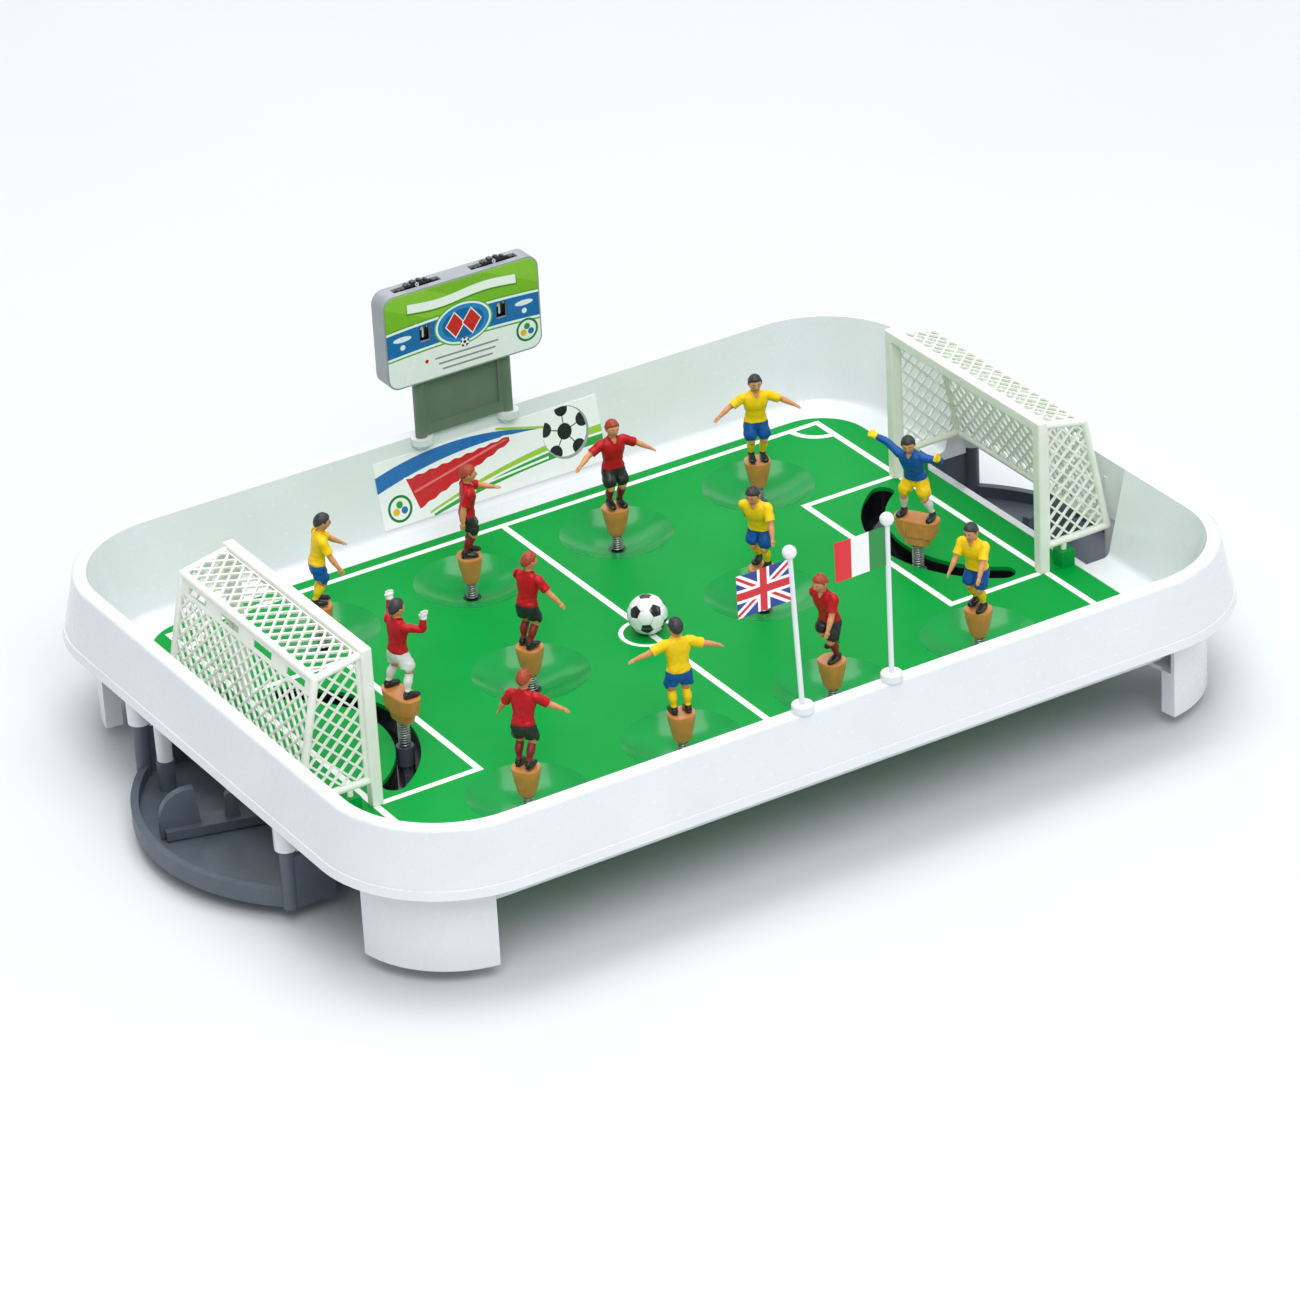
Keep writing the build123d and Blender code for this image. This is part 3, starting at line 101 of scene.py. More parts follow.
# ---------------------------------------------------------------- colours and node graphs
def to_linear(hex_code: str) -> tuple[float, float, float, float]:
    """Turn an sRGB hex colour into linear light.

    Formula: c/12.92 below 0.04045, otherwise ((c + 0.055)/1.055) to the power 2.4.

    Args:
        hex_code: six hex digits, with or without a leading hash.
    Returns:
        Linear red, green, blue and an alpha of one.
    """
    code = hex_code.lstrip("#")
    parts = [int(code[i:i + 2], 16) / 255 for i in (0, 2, 4)]
    linear = [c / 12.92 if c <= 0.04045 else ((c + 0.055) / 1.055) ** 2.4 for c in parts]
    return (*linear, 1.0)


class Field:
    """A shader socket that can be used in arithmetic."""

    def __init__(self, graph: "Graph", socket: Socket) -> None:
        """Wrap one socket.

        Args:
            graph: the graph that owns it.
            socket: the output socket.
        """
        self.graph = graph
        self.socket = socket

    def _do(self, kind: str, *others: "Field | float") -> "Field":
        """Apply one maths operation.

        Args:
            kind: the operation's name.
            others: the other operands.
        Returns:
            The result.
        """
        return self.graph.math(kind, self, *others)

    def __add__(self, other: "Field | float") -> "Field":
        """Sum. Args: other. Returns: self plus other."""
        return self._do("ADD", other)

    def __sub__(self, other: "Field | float") -> "Field":
        """Difference. Args: other. Returns: self minus other."""
        return self._do("SUBTRACT", other)

    def __rsub__(self, other: float) -> "Field":
        """Reverse difference. Args: other. Returns: other minus self."""
        return self.graph.math("SUBTRACT", other, self)

    def __mul__(self, other: "Field | float") -> "Field":
        """Product. Args: other. Returns: self times other."""
        return self._do("MULTIPLY", other)

    def __truediv__(self, other: "Field | float") -> "Field":
        """Quotient. Args: other. Returns: self over other."""
        return self._do("DIVIDE", other)

    def size(self) -> "Field":
        """Absolute value. Returns: self without its sign."""
        return self._do("ABSOLUTE")

    def low(self, other: "Field | float") -> "Field":
        """Smaller of two. Args: other. Returns: the minimum."""
        return self._do("MINIMUM", other)

    def high(self, other: "Field | float") -> "Field":
        """Larger of two. Args: other. Returns: the maximum."""
        return self._do("MAXIMUM", other)

    def root(self) -> "Field":
        """Square root. Returns: the root of self."""
        return self._do("SQRT")

    def wave(self) -> "Field":
        """Sine. Returns: the sine of self in radians."""
        return self._do("SINE")

    def mask(self, soft: float) -> "Field":
        """Step with a soft edge: self over soft plus a half, held between 0 and 1.

        Args:
            soft: width of the edge, in self's units.
        Returns:
            One where self is positive.
        """
        out = self.graph.math("MULTIPLY_ADD", self, 1 / soft, 0.5)
        out.socket.node.use_clamp = True
        return out


class Graph:
    """Builds one material's node tree."""

    def __init__(self, name: str) -> None:
        """Start an empty material with one shader.

        Args:
            name: the material's name.
        """
        self.material = bpy.data.materials.new(name)
        self.material.use_nodes = True
        self.tree = self.material.node_tree
        self.tree.nodes.clear()
        self.shader = self.node("ShaderNodeBsdfPrincipled")
        output = self.node("ShaderNodeOutputMaterial")
        self.link(self.shader.outputs[0], output.inputs[0])

    def node(self, kind: str, **settings: object) -> bpy.types.Node:
        """Add one node.

        Args:
            kind: the node type.
            settings: node properties to set.
        Returns:
            The node.
        """
        made = self.tree.nodes.new(kind)
        for key, value in settings.items():
            setattr(made, key, value)
        return made

    def link(self, source: Socket, target: Socket) -> None:
        """Join two sockets. Args: source, target."""
        self.tree.links.new(source, target)

    def feed(self, target: Socket, value: "Field | Socket | float | tuple") -> None:
        """Give a socket a constant or a link.

        Args:
            target: the input socket.
            value: what goes in.
        """
        if isinstance(value, Field):
            self.link(value.socket, target)
        elif isinstance(value, bpy.types.NodeSocket):
            self.link(value, target)
        else:
            target.default_value = value

    def math(self, kind: str, *values: "Field | float") -> Field:
        """Add a maths node.

        Args:
            kind: the operation.
            values: its operands.
        Returns:
            The result.
        """
        made = self.node("ShaderNodeMath", operation=kind)
        for target, value in zip(made.inputs, values):
            self.feed(target, value)
        return Field(self, made.outputs[0])

    def object_mm(self, centre: Triple = (0, 0, 0)) -> tuple[Field, Field, Field]:
        """Object coordinates in millimetres: (position - centre) times 1000.

        Args:
            centre: what counts as zero, in metres.
        Returns:
            x, y and z.
        """
        coords = self.node("ShaderNodeTexCoord")
        split = self.node("ShaderNodeSeparateXYZ")
        self.link(coords.outputs["Object"], split.inputs[0])
        return tuple((Field(self, split.outputs[i]) - centre[i]) * 1000.0 for i in range(3))

    def tag(self, name: str) -> Field:
        """Read a per-point value. Args: name. Returns: the value."""
        made = self.node("ShaderNodeAttribute", attribute_name=name)
        return Field(self, made.outputs["Fac"])

    def noise(self, size_mm: float, detail: float = 3.0, stretch: Triple = (1, 1, 1)) -> Field:
        """Noise with a feature size in millimetres: scale = 1000/size.

        Args:
            size_mm: feature size.
            detail: octaves.
            stretch: scale of each axis.
        Returns:
            A value about 0.5.
        """
        coords = self.node("ShaderNodeTexCoord")
        mapping = self.node("ShaderNodeMapping")
        mapping.inputs["Scale"].default_value = stretch
        self.link(coords.outputs["Object"], mapping.inputs[0])
        made = self.node("ShaderNodeTexNoise")
        made.inputs["Scale"].default_value = 1000.0 / size_mm
        made.inputs["Detail"].default_value = detail
        self.link(mapping.outputs[0], made.inputs["Vector"])
        return Field(self, made.outputs["Fac"])

    def mix(self, factor: Field, first: "Socket | str", second: "Socket | str") -> Socket:
        """Blend two colours: first(1 - factor) + second factor.

        Args:
            factor: the blend.
            first: colour at 0.
            second: colour at 1.
        Returns:
            The colour.
        """
        made = self.node("ShaderNodeMix", data_type="RGBA")
        self.feed(made.inputs[0], factor)
        for target, value in ((made.inputs[6], first), (made.inputs[7], second)):
            self.feed(target, to_linear(value) if isinstance(value, str) else value)
        return made.outputs[2]

    def spread(self, value: Field, low: float, high: float) -> Field:
        """Map about 0.3..0.7 onto low..high in a straight line.

        Args:
            value: a noise value, which stays mostly within those two.
            low: result at 0.3.
            high: result at 0.7.
        Returns:
            The mapped value, clamped.
        """
        made = self.node("ShaderNodeMapRange")
        for target, item in zip(made.inputs, (value, 0.3, 0.7, low, high)):
            self.feed(target, item)
        return Field(self, made.outputs[0])

    def bump(self, height: Field, depth_mm: float, before: Socket | None = None) -> Socket:
        """Bump from a height of 0..1 that stands for depth_mm.

        Args:
            height: the height.
            depth_mm: full depth.
            before: an earlier normal to add to.
        Returns:
            The normal.
        """
        made = self.node("ShaderNodeBump")
        made.inputs["Distance"].default_value = depth_mm * MM
        made.inputs["Strength"].default_value = 1.0
        self.link(height.socket, made.inputs["Height"])
        if before is not None:
            self.link(before, made.inputs["Normal"])
        return made.outputs[0]


@dataclass(frozen=True)
class Plastic:
    """Moulded or painted plastic: a colour with faint mottling, handling scuffs and mould texture.

    Lengths are in mm. The texture is drawn coarser than real spark erosion, so that it shows at all.
    """

    name: str
    colour: str
    shade: str
    rough: float = 0.25
    rough_spread: float = 0.08
    texture_mm: float = 0.9
    texture_depth: float = 0.004
    mottle_mm: float = 22.0
    coat: float = 0.0
    scatter: float = 0.0
    metal: float = 0.0
    gloss: float = 0.5
    mottle_depth: float = 0.02
    scuff_mm: float = 3.0
    coat_rough: float = 0.05
    scatter_mm: float = 1.5

    def graph(self) -> Graph:
        """Build the node graph: colour = mix(colour, shade, noise); roughness = rough + spread.

        Returns:
            The graph, so that a pattern can be painted over it.
        """
        made = Graph(self.name)
        cloud = made.noise(self.mottle_mm, 4)
        inputs = made.shader.inputs
        made.link(made.mix(made.spread(cloud, 0, 1), self.colour, self.shade), inputs["Base Color"])
        scuffs = made.noise(self.scuff_mm, 6, (1, 7, 1))
        rough = made.spread(scuffs, self.rough - self.rough_spread / 2, self.rough + self.rough_spread)
        made.link(rough.socket, inputs["Roughness"])
        grain = made.bump(made.noise(self.texture_mm, 2), self.texture_depth)
        made.link(made.bump(cloud, self.mottle_depth, grain), inputs["Normal"])
        inputs["Metallic"].default_value = self.metal
        inputs["Specular IOR Level"].default_value = self.gloss
        inputs["Coat Weight"].default_value = self.coat
        inputs["Coat Roughness"].default_value = self.coat_rough
        if self.scatter:
            inputs["Subsurface Weight"].default_value = self.scatter
            inputs["Subsurface Radius"].default_value = (1.0, 0.6, 0.4)
            inputs["Subsurface Scale"].default_value = self.scatter_mm * MM
        return made

    def material(self) -> bpy.types.Material:
        """Make the material. Returns: the material."""
        return self.graph().material


class Finish(Enum):
    """The plain plastics and metals."""

    # cool glossy white with soft wide highlights, faint flow marks from the mould
    ABS_WHITE = Plastic("abs_gloss_white", "E4E8EA", "DFE3E6", 0.2, 0.1, 1.2, 0.003, 40, 0.25, 0.1)
    # satin blue-grey, fine spark-eroded grain, slightly lighter where handled
    ABS_SLATE = Plastic("abs_satin_slate", "57606B", "4E5762", 0.42, 0.12, 0.5, 0.012, 18)
    # glossy black with sharp highlights
    ABS_BLACK = Plastic("abs_gloss_black", "141518", "1C1D20", 0.16, 0.1, 1.0, 0.003, 14, 0.3)
    # warm milky white, waxy and slightly see-through
    POLYPROPYLENE = Plastic("polypropylene_net_white", "F2F4EC", "EAEDE2", 0.33, 0.1, 0.8, 0.005, 15, 0.0, 0.3)
    # mid grey shell with a silvery satin look
    ABS_GREY = Plastic("abs_satin_grey", "A3A7AB", "989CA1", 0.36, 0.1, 0.6, 0.008, 16)
    # dull grey-green
    ABS_SAGE = Plastic("abs_satin_sage", "6C7B6B", "647363", 0.4, 0.1, 0.6, 0.008, 16)
    # bright zinc on steel wire, thin drawn lines
    ZINC_WIRE = Plastic("steel_zinc_wire", "C9CBC8", "9C9E9B", 0.28, 0.12, 0.25, 0.004, 2.5, metal=1.0)
    # duller zinc with tool marks
    ZINC_SCREW = Plastic("steel_zinc_screw", "B7B8B5", "8C8D8A", 0.38, 0.15, 0.2, 0.008, 1.8, metal=1.0)
    # orange-tan PVC, soft sheen
    PVC_TAN = Plastic("pvc_tan_base", "D9914E", "CC8242", 0.34, 0.12, 0.7, 0.02, 5, 0.1, 0.3)
    # painted skin, warmer in the hollows
    SKIN = Plastic("pvc_painted_skin", "E3A06E", "D58C5A", 0.42, 0.12, 0.4, 0.012, 2.2, 0, 0.4)
    # brushed-on paints: strong even colour, low soft sheen, a little darker where the folds hold it
    SHIRT_RED = Plastic("paint_shirt_red", "C4121F", "AC0C18", 0.36, 0.12, 0.35, 0.015, 2.5, gloss=0.28)
    SHIRT_YELLOW = Plastic("paint_shirt_yellow", "FFD416", "F6C60C", 0.38, 0.12, 0.35, 0.015, 2.5, gloss=0.28)
    SHIRT_BLUE = Plastic("paint_shirt_blue", "125AA6", "0E4D92", 0.38, 0.12, 0.35, 0.015, 2.5, gloss=0.28)
    # near-black paint with enough sheen for its folds to read
    SHORTS_BLACK = Plastic("paint_shorts_black", "1B1A1C", "252325", 0.34, 0.12, 0.35, 0.015, 2.5)
    # off-white paint, faintly grey in the hollows, on a keeper's shorts, socks and gloves
    SHORTS_WHITE = Plastic("paint_shorts_white", "E9E9E6", "DADAD8", 0.4, 0.1, 0.35, 0.015, 2.5)
    # wine red paint, nearly matt
    SOCK_RED = Plastic("paint_sock_darkred", "8E1520", "7C101A", 0.42, 0.1, 0.3, 0.015, 2.0)
    # black lacquer with a small bright highlight, like polished leather, also on laces and pupils
    BOOT_BLACK = Plastic("paint_boot_black", "121214", "1D1D20", 0.2, 0.12, 0.4, 0.01, 1.5, 0.2)
    # matt paint over combed strands, darker between them
    HAIR_AUBURN = Plastic("paint_hair_auburn", "B5492B", "8C3018", 0.42, 0.12, 0.3, 0.03, 0.9)
    HAIR_DARK = Plastic("paint_hair_dark", "3B3B40", "222226", 0.4, 0.12, 0.3, 0.03, 0.9)
    # small warm white dots, slightly glossy
    EYE_WHITE = Plastic("paint_eye_white", "F2F0EA", "E8E6E0", 0.25, 0.05)
    # brown-pink satin paint, one shade under the skin
    LIP = Plastic("paint_lip", "B4603F", "A85637", 0.4, 0.05)

    def material(self) -> bpy.types.Material:
        """The shared material, made on first use. Returns: the material."""
        known = bpy.data.materials.get(self.value.name)
        return known or self.value.material()


class Art:
    """Printed patterns, painted in millimetres over a laminated or moulded surface."""

    def __init__(self, base: Plastic, centre: Triple = (0, 0, 0), soft: float = 0.12) -> None:
        """Start from a plain finish.

        Args:
            base: the finish under the ink.
            centre: zero of the pattern, in metres.
            soft: width of the ink's edge in mm.
        """
        self.graph = base.graph()
        self.soft = soft
        self.x, self.y, self.z = self.graph.object_mm(centre)
        self.ink: Socket = self.graph.shader.inputs["Base Color"].links[0].from_socket

    def paint(self, shape: Field, colour: str) -> None:
        """Lay one ink over the rest.

        Args:
            shape: positive inside the inked area, in mm.
            colour: sRGB hex.
        """
        self.ink = self.graph.mix(shape.mask(self.soft), self.ink, colour)

    def draw(self) -> bpy.types.Material:
        """Lay the pattern, which each printed piece has of its own. Returns: the material."""
        raise NotImplementedError

    def done(self) -> bpy.types.Material:
        """Join the ink to the shader. Returns: the material."""
        self.graph.link(self.ink, self.graph.shader.inputs["Base Color"])
        return self.graph.material

    @staticmethod
    def box(u: Field, v: Field, u0: float, u1: float, v0: float, v1: float) -> Field:
        """Upright rectangle: the least of the four distances to its sides.

        Args:
            u, v: the plane's coordinates.
            u0, u1, v0, v1: the sides.
        Returns:
            The distance inside.
        """
        return (u - u0).low(u1 - u).low((v - v0).low(v1 - v))

    @staticmethod
    def oval(u: Field, v: Field, cu: float, cv: float, ru: float, rv: float) -> Field:
        """Ellipse: (1 - length((u-cu)/ru, (v-cv)/rv)) times the smaller radius.

        Args:
            u, v: the plane's coordinates.
            cu, cv: centre.
            ru, rv: radii.
        Returns:
            The distance inside, roughly.
        """
        a = (u - cu) / ru
        b = (v - cv) / rv
        return (1.0 - (a * a + b * b).root()) * min(ru, rv)

    @staticmethod
    def line(u: Field, v: Field, a: tuple[float, float], b: tuple[float, float], width: float) -> Field:
        """Straight band: half the width less the distance to the segment's line, cut at its ends.

        Args:
            u, v: the plane's coordinates.
            a, b: the ends.
            width: full width.
        Returns:
            The distance inside.
        """
        du, dv = b[0] - a[0], b[1] - a[1]
        length = math.hypot(du, dv)
        du, dv = du / length, dv / length
        along = (u - a[0]) * du + (v - a[1]) * dv
        off = ((u - a[0]) * -dv + (v - a[1]) * du).size()
        return (width / 2 - off).low(along).low(length - along)

    def football(self, u: Field, v: Field, cu: float, cv: float, r: float) -> None:
        """A printed ball: white disc, dark outline, a centre patch and five round the edge.

        Args:
            u, v: the plane's coordinates.
            cu, cv: centre.
            r: radius.
        """
        disc = self.oval(u, v, cu, cv, r, r)
        self.paint(self.oval(u, v, cu + 0.05 * r, cv - 0.05 * r, r * 1.06, r * 1.06), "9AA0A6")
        self.paint(disc, "F4F5F6")
        for turn in range(5):
            a = math.radians(90 + 72 * turn)
            far = (cu + 0.92 * r * math.cos(a), cv + 0.92 * r * math.sin(a))
            near = (cu + 0.3 * r * math.cos(a), cv + 0.3 * r * math.sin(a))
            self.paint(self.line(u, v, near, far, r * 0.05).low(disc), "5A5E63")
            self.paint(self.oval(u, v, far[0], far[1], r * 0.3, r * 0.3).low(disc), "17181A")
        self.paint(self.oval(u, v, cu, cv, r * 0.33, r * 0.33), "17181A")

    def roundel(self, u: Field, v: Field, cu: float, cv: float, r: float) -> None:
        """A plain badge: green ring with three pale discs on a white middle.

        Args:
            u, v: the plane's coordinates.
            cu, cv: centre.
            r: radius.
        """
        self.paint(self.oval(u, v, cu, cv, r, r), "1E7B34")
        self.paint(self.oval(u, v, cu, cv, r * 0.8, r * 0.8), "F0F3EE")
        for shift, colour in ((-0.34, "E8B81E"), (0.34, "2C6FB5"), (0.0, "2F9A46")):
            lift = 0.3 if shift == 0 else -0.18
            self.paint(self.oval(u, v, cu + shift * r, cv + lift * r, r * 0.27, r * 0.27), colour)


class PitchArt(Art):
    """Green styrene with printed white lines and the soft pale streaks of a glossy sheet."""

    LINE = 3.6
    HALF = (197.0, 144.5)
    BOX_X, BOX_Y = 139.0, 67.4
    RING, RING_LINE = 14.0, 2.4
    CORNER = 17.0

    def draw(self) -> bpy.types.Material:
        """Draw every line of the pitch.

        Returns:
            The material.
        """
        ink = "F1F5F0"
        ax, ay = self.x.size(), self.y.size()
        wide, deep = self.HALF
        half = self.LINE / 2
        outer = (wide + half - ax).low(deep + half - ay)
        inner = (wide - half - ax).low(deep - half - ay)
        self.paint(outer.low(0.0 - inner), ink)
        self.paint((half - ax).low(deep - ay), ink)
        box = (ax - (self.BOX_X - half)).low(self.BOX_Y + half - ay)
        hollow = (ax - (self.BOX_X + half)).low(self.BOX_Y - half - ay)
        self.paint(box.low(0.0 - hollow).low(inner), ink)
        radius = (self.x * self.x + self.y * self.y).root()
        self.paint(self.RING_LINE / 2 - (radius - self.RING).size(), ink)
        cx, cy = ax - wide, ay - deep
        corner = (cx * cx + cy * cy).root()
        self.paint((half - (corner - self.CORNER).size()).low(inner), ink)
        return self.done()


class ScoreArt(Art):
    """Score card: lime top, blue band, oval in the middle, white foot, all without words."""

    def draw(self) -> bpy.types.Material:
        """Draw the card, with x across and z up from its middle.

        Returns:
            The material.
        """
        x, z = self.x, self.z
        self.paint(z - 2.6, "7DB92C")
        self.paint((z - 2.6).low((x * 0.09 + z * 0.2).wave() * 2.2), "8CC63A")
        ribbon = z - 16.4 - (x * 0.11).wave() * 1.1
        self.paint((3.1 - ribbon.size()).low(33 - x.size()), "4F8F22")
        self.paint((2.5 - (ribbon - 0.5).size()).low(32.5 - x.size()), "F7FAF2")
        sag = (x * x) * 0.0009
        band = (6.6 - (z - 0.4 + sag).size())
        self.paint(band + 2.2, "5FA82E")
        self.paint(band + 1.3, "F3F7FA")
        self.paint(band, "1E6BB0")
        self.paint(self.oval(x, z, 0, 0.6, 17.5, 12.2), "5FA82E")
        self.paint(self.oval(x, z, 0, 0.6, 16.6, 11.4), "F3F7FA")
        self.paint(self.oval(x, z, 0, 0.6, 15.4, 10.3), "2C86C8")
        self.paint(self.oval(x, z, 0, 0.6, 12.5, 8.0), "1A62A6")
        for side in (-1, 1):
            diamond = 4.2 - (x - side * 5.0).size() * 0.8 - (z - 0.6).size() * 0.62
            self.paint(diamond + 0.6, "F6F6F4")
            self.paint(diamond, "D2202B")
        for side in (-1, 1):
            self.paint(self.oval(x, z, side * 36.5, 1.4, 5.4, 1.5), "EAF2FA")
            self.paint(self.oval(x, z, side * 36.5, -3.2, 1.5, 1.5), "EAF2FA")
        self.football(x, z, 0, -10.4, 2.6)
        for i in range(3):
            self.paint(self.box(x, z, -18 + 2 * i, 20 - 2 * i, -15.6 - 3.4 * i, -14.6 - 3.4 * i), "8B8F93")
        self.paint(self.oval(x, z, -23, -15.1, 1.1, 1.1), "D2202B")
        self.roundel(x, z, 37.5, -14.5, 6.6)
        return self.done()


class BannerArt(Art):
    """Long card: blue wave at the left, a red jagged band, lime and green swooshes, a ball at the right."""

    def draw(self) -> bpy.types.Material:
        """Draw the card, with x across and z up its slope from its middle.

        Returns:
            The material.
        """
        x, z = self.x, self.z
        crest = 17.0 - (x + 20) * (x + 20) * 0.0028
        trough = 11.5 - (x * x) * 0.00205
        self.paint((crest - z).low(z - trough).low(30 - x), "1F6DB4")
        mid = z + 3.0 - (x + 45) * 0.21
        tall = 8.6 - (x + 45) * 0.122
        rag = (x * 0.83).wave() * 0.35
        band = (tall - mid.size() + rag).low(x + z * 0.3 + 49).low(13 - x)
        self.paint(band + 1.0, "F7F7F5")
        self.paint(band, "CE1F2A")
        self.paint((0.6 - (mid - 1.0).size()).low(band - 1.2), "E8747B")
        arch = (x + 40) * 0.27 - (x + 40) * (x + 40) * 0.0013
        thick = (x + 40) * 0.022 + 1.0
        lime = z + 16.0 - arch
        self.paint(lime.low(thick * 1.2 - lime).low(x + 40), "9CCB3C")
        grass = z + 18.5 - arch * 0.78
        self.paint(grass.low(thick * 3.1 - grass).low(x + 38).low(0.0 - (lime + 1.2)), "33A044")
        thread = z + 10.0 - (x + 10) * 0.075
        self.paint((0.6 - thread.size()).low(x + 8).low(34 - x), "F2F8EE")
        self.paint(self.oval(x, z, -13.0, -11.0, 1.7, 1.7), "F3E01F")
        self.paint(self.line(x, z, (6, 16.4), (34, 9.6), 1.3), "9CCB3C")
        self.football(x, z, 46.0, 4.0, 13.2)
        self.roundel(x, z, -57.0, -8.6, 7.2)
        return self.done()


class CrossFlagArt(Art):
    """Flag of crosses: blue ground with white and red diagonal and upright bars."""

    def draw(self) -> bpy.types.Material:
        """Draw the flag, with x across and z up from its middle.

        Returns:
            The material.
        """
        x, z = self.x, self.z
        for width, colour in ((4.6, "F5F5F3"), (1.5, "CF1B2B")):
            self.paint(self.line(x, z, (-17, -11.5), (17, 11.5), width), colour)
            self.paint(self.line(x, z, (-17, 11.5), (17, -11.5), width), colour)
        for width, colour in ((7.0, "F5F5F3"), (4.0, "CF1B2B")):
            self.paint((width / 2 - z.size()).high(width / 2 - x.size()), colour)
        return self.done()


class BarFlagArt(Art):
    """Flag of three upright bars: red at the fly, white, green at the pole."""

    def draw(self) -> bpy.types.Material:
        """Draw the flag, with x across from its middle.

        Returns:
            The material.
        """
        self.paint(-5.2 - self.x, "D8202B")
        self.paint(self.x - 5.2, "1F8A3E")
        return self.done()


class BallArt(Art):
    """White ball with black patches and fine seams, read from the mesh's own tags."""

    def draw(self) -> bpy.types.Material:
        """Paint patches where tag 'patch' is positive and seams where 'seam' is.

        Returns:
            The material.
        """
        self.paint(self.graph.tag("seam"), "A9ACB0")
        self.paint(self.graph.tag("patch"), "141517")
        return self.done()


# ---------------------------------------------------------------- meshes
@dataclass
class Skin:
    """A grid of points: rows along a path, columns round it, with its material slot."""

    points: Array
    slot: int = 0
    caps: bool = True
    wrap: bool = True
    loop: bool = False
    tags: dict[str, Array] = field(default_factory=dict)


def smooth_rows(values: Array, count: int) -> Array:
    """Catmull-Rom curve through rows of numbers.

    Formula: 0.5(2b + (c-a)t + (2a-5b+4c-d)t^2 + (3b-a-3c+d)t^3) between b and c.

    Args:
        values: control rows.
        count: rows wanted.
    Returns:
        The finer rows.
    """
    rows = np.asarray(values, float)
    padded = np.vstack([2 * rows[0] - rows[1], rows, 2 * rows[-1] - rows[-2]])
    place = np.linspace(0, len(rows) - 1, count)
    i = np.minimum(place.astype(int), len(rows) - 2)
    t = (place - i)[:, None]
    a, b, c, d = (padded[i + k] for k in range(4))
    return 0.5 * (2 * b + (c - a) * t + (2 * a - 5 * b + 4 * c - d) * t ** 2 + (3 * b - a - 3 * c + d) * t ** 3)


def ring_shape(count: int, power: float) -> Array:
    """Unit superellipse: (sign cos |cos|^(2/p), sign sin |sin|^(2/p)).

    Args:
        count: points.
        power: 2 is round, 4 is nearly square.
    Returns:
        Points, two numbers each.
    """
    angle = np.linspace(0, 2 * np.pi, count, endpoint=False)
    c, s = np.cos(angle), np.sin(angle)
    return np.stack([np.sign(c) * np.abs(c) ** (2 / power), np.sign(s) * np.abs(s) ** (2 / power)], 1)


def sweep(rows: list, count: int = 18, columns: int = 20, power: float = 2.0, hint: Triple = (1, 0, 0)) -> Array:
    """Lay ellipses along a path.

    Args:
        rows: (x, y, z, radius along hint, radius across) control rows.
        count: rings wanted.
        columns: points in a ring.
        power: superellipse power.
        hint: direction of the first radius.
    Returns:
        Grid of points.
    """
    data = smooth_rows(np.array(rows, float), count)
    centre, radii = data[:, :3], np.maximum(data[:, 3:5], 0.01)
    along = np.gradient(centre, axis=0)
    along /= np.linalg.norm(along, axis=1, keepdims=True) + 1e-9
    first = np.array(hint, float) - along * (along @ np.array(hint, float))[:, None]
    first /= np.linalg.norm(first, axis=1, keepdims=True) + 1e-9
    second = np.cross(along, first)
    ring = ring_shape(columns, power)
    reach = first[:, None] * (ring[:, 0][None, :, None] * radii[:, :1, None])
    return centre[:, None] + reach + second[:, None] * (ring[:, 1][None, :, None] * radii[:, 1:2, None])


def lumps(points: Array, size: float, seed: float) -> Array:
    """Smooth lumps for cloth folds: sum of three sines of position over size.

    Args:
        points: positions.
        size: wavelength.
        seed: phase.
    Returns:
        Heights in -1..1.
    """
    x, y, z = (points[..., i] * 2 * np.pi / size for i in range(3))
    total = np.sin(x + 1.3 * z + seed) + np.sin(1.7 * y - 0.8 * z + 2.1 * seed) + np.sin(1.1 * y + 0.9 * x + 2.3 * z)
    return total / 3


def swell(grid: Array, amount: Array) -> Array:
    """Move points outwards from their ring's middle.

    Args:
        grid: rows of rings.
        amount: distance of each point.
    Returns:
        The moved grid.
    """
    middle = grid.mean(axis=1, keepdims=True)
    way = grid - middle
    way /= np.linalg.norm(way, axis=2, keepdims=True) + 1e-9
    return grid + way * amount[..., None]


def globe(rows: int, columns: int, pole: float) -> tuple[Array, Array, Array]:
    """Unit sphere from the bottom up: (sin t cos p, sin t sin p, -cos t).

    Args:
        rows: rings.
        columns: points in a ring.
        pole: angle left open at each pole, in radians.
    Returns:
        The points, and the angles t and p.
    """
    theta = np.linspace(pole, math.pi - pole, rows)[:, None]
    phi = np.linspace(0, 2 * math.pi, columns, endpoint=False)[None, :]
    across = np.sin(theta)
    return np.stack([across * np.cos(phi), across * np.sin(phi), -np.cos(theta) * np.ones_like(phi)], -1), theta, phi


def heading_turn(degrees: float) -> Array:
    """Rotation about the upright axis: rows (cos, -sin, 0), (sin, cos, 0), (0, 0, 1).

    Args:
        degrees: the angle.
    Returns:
        The matrix.
    """
    a = math.radians(degrees)
    return np.array([[math.cos(a), -math.sin(a), 0], [math.sin(a), math.cos(a), 0], [0, 0, 1]])


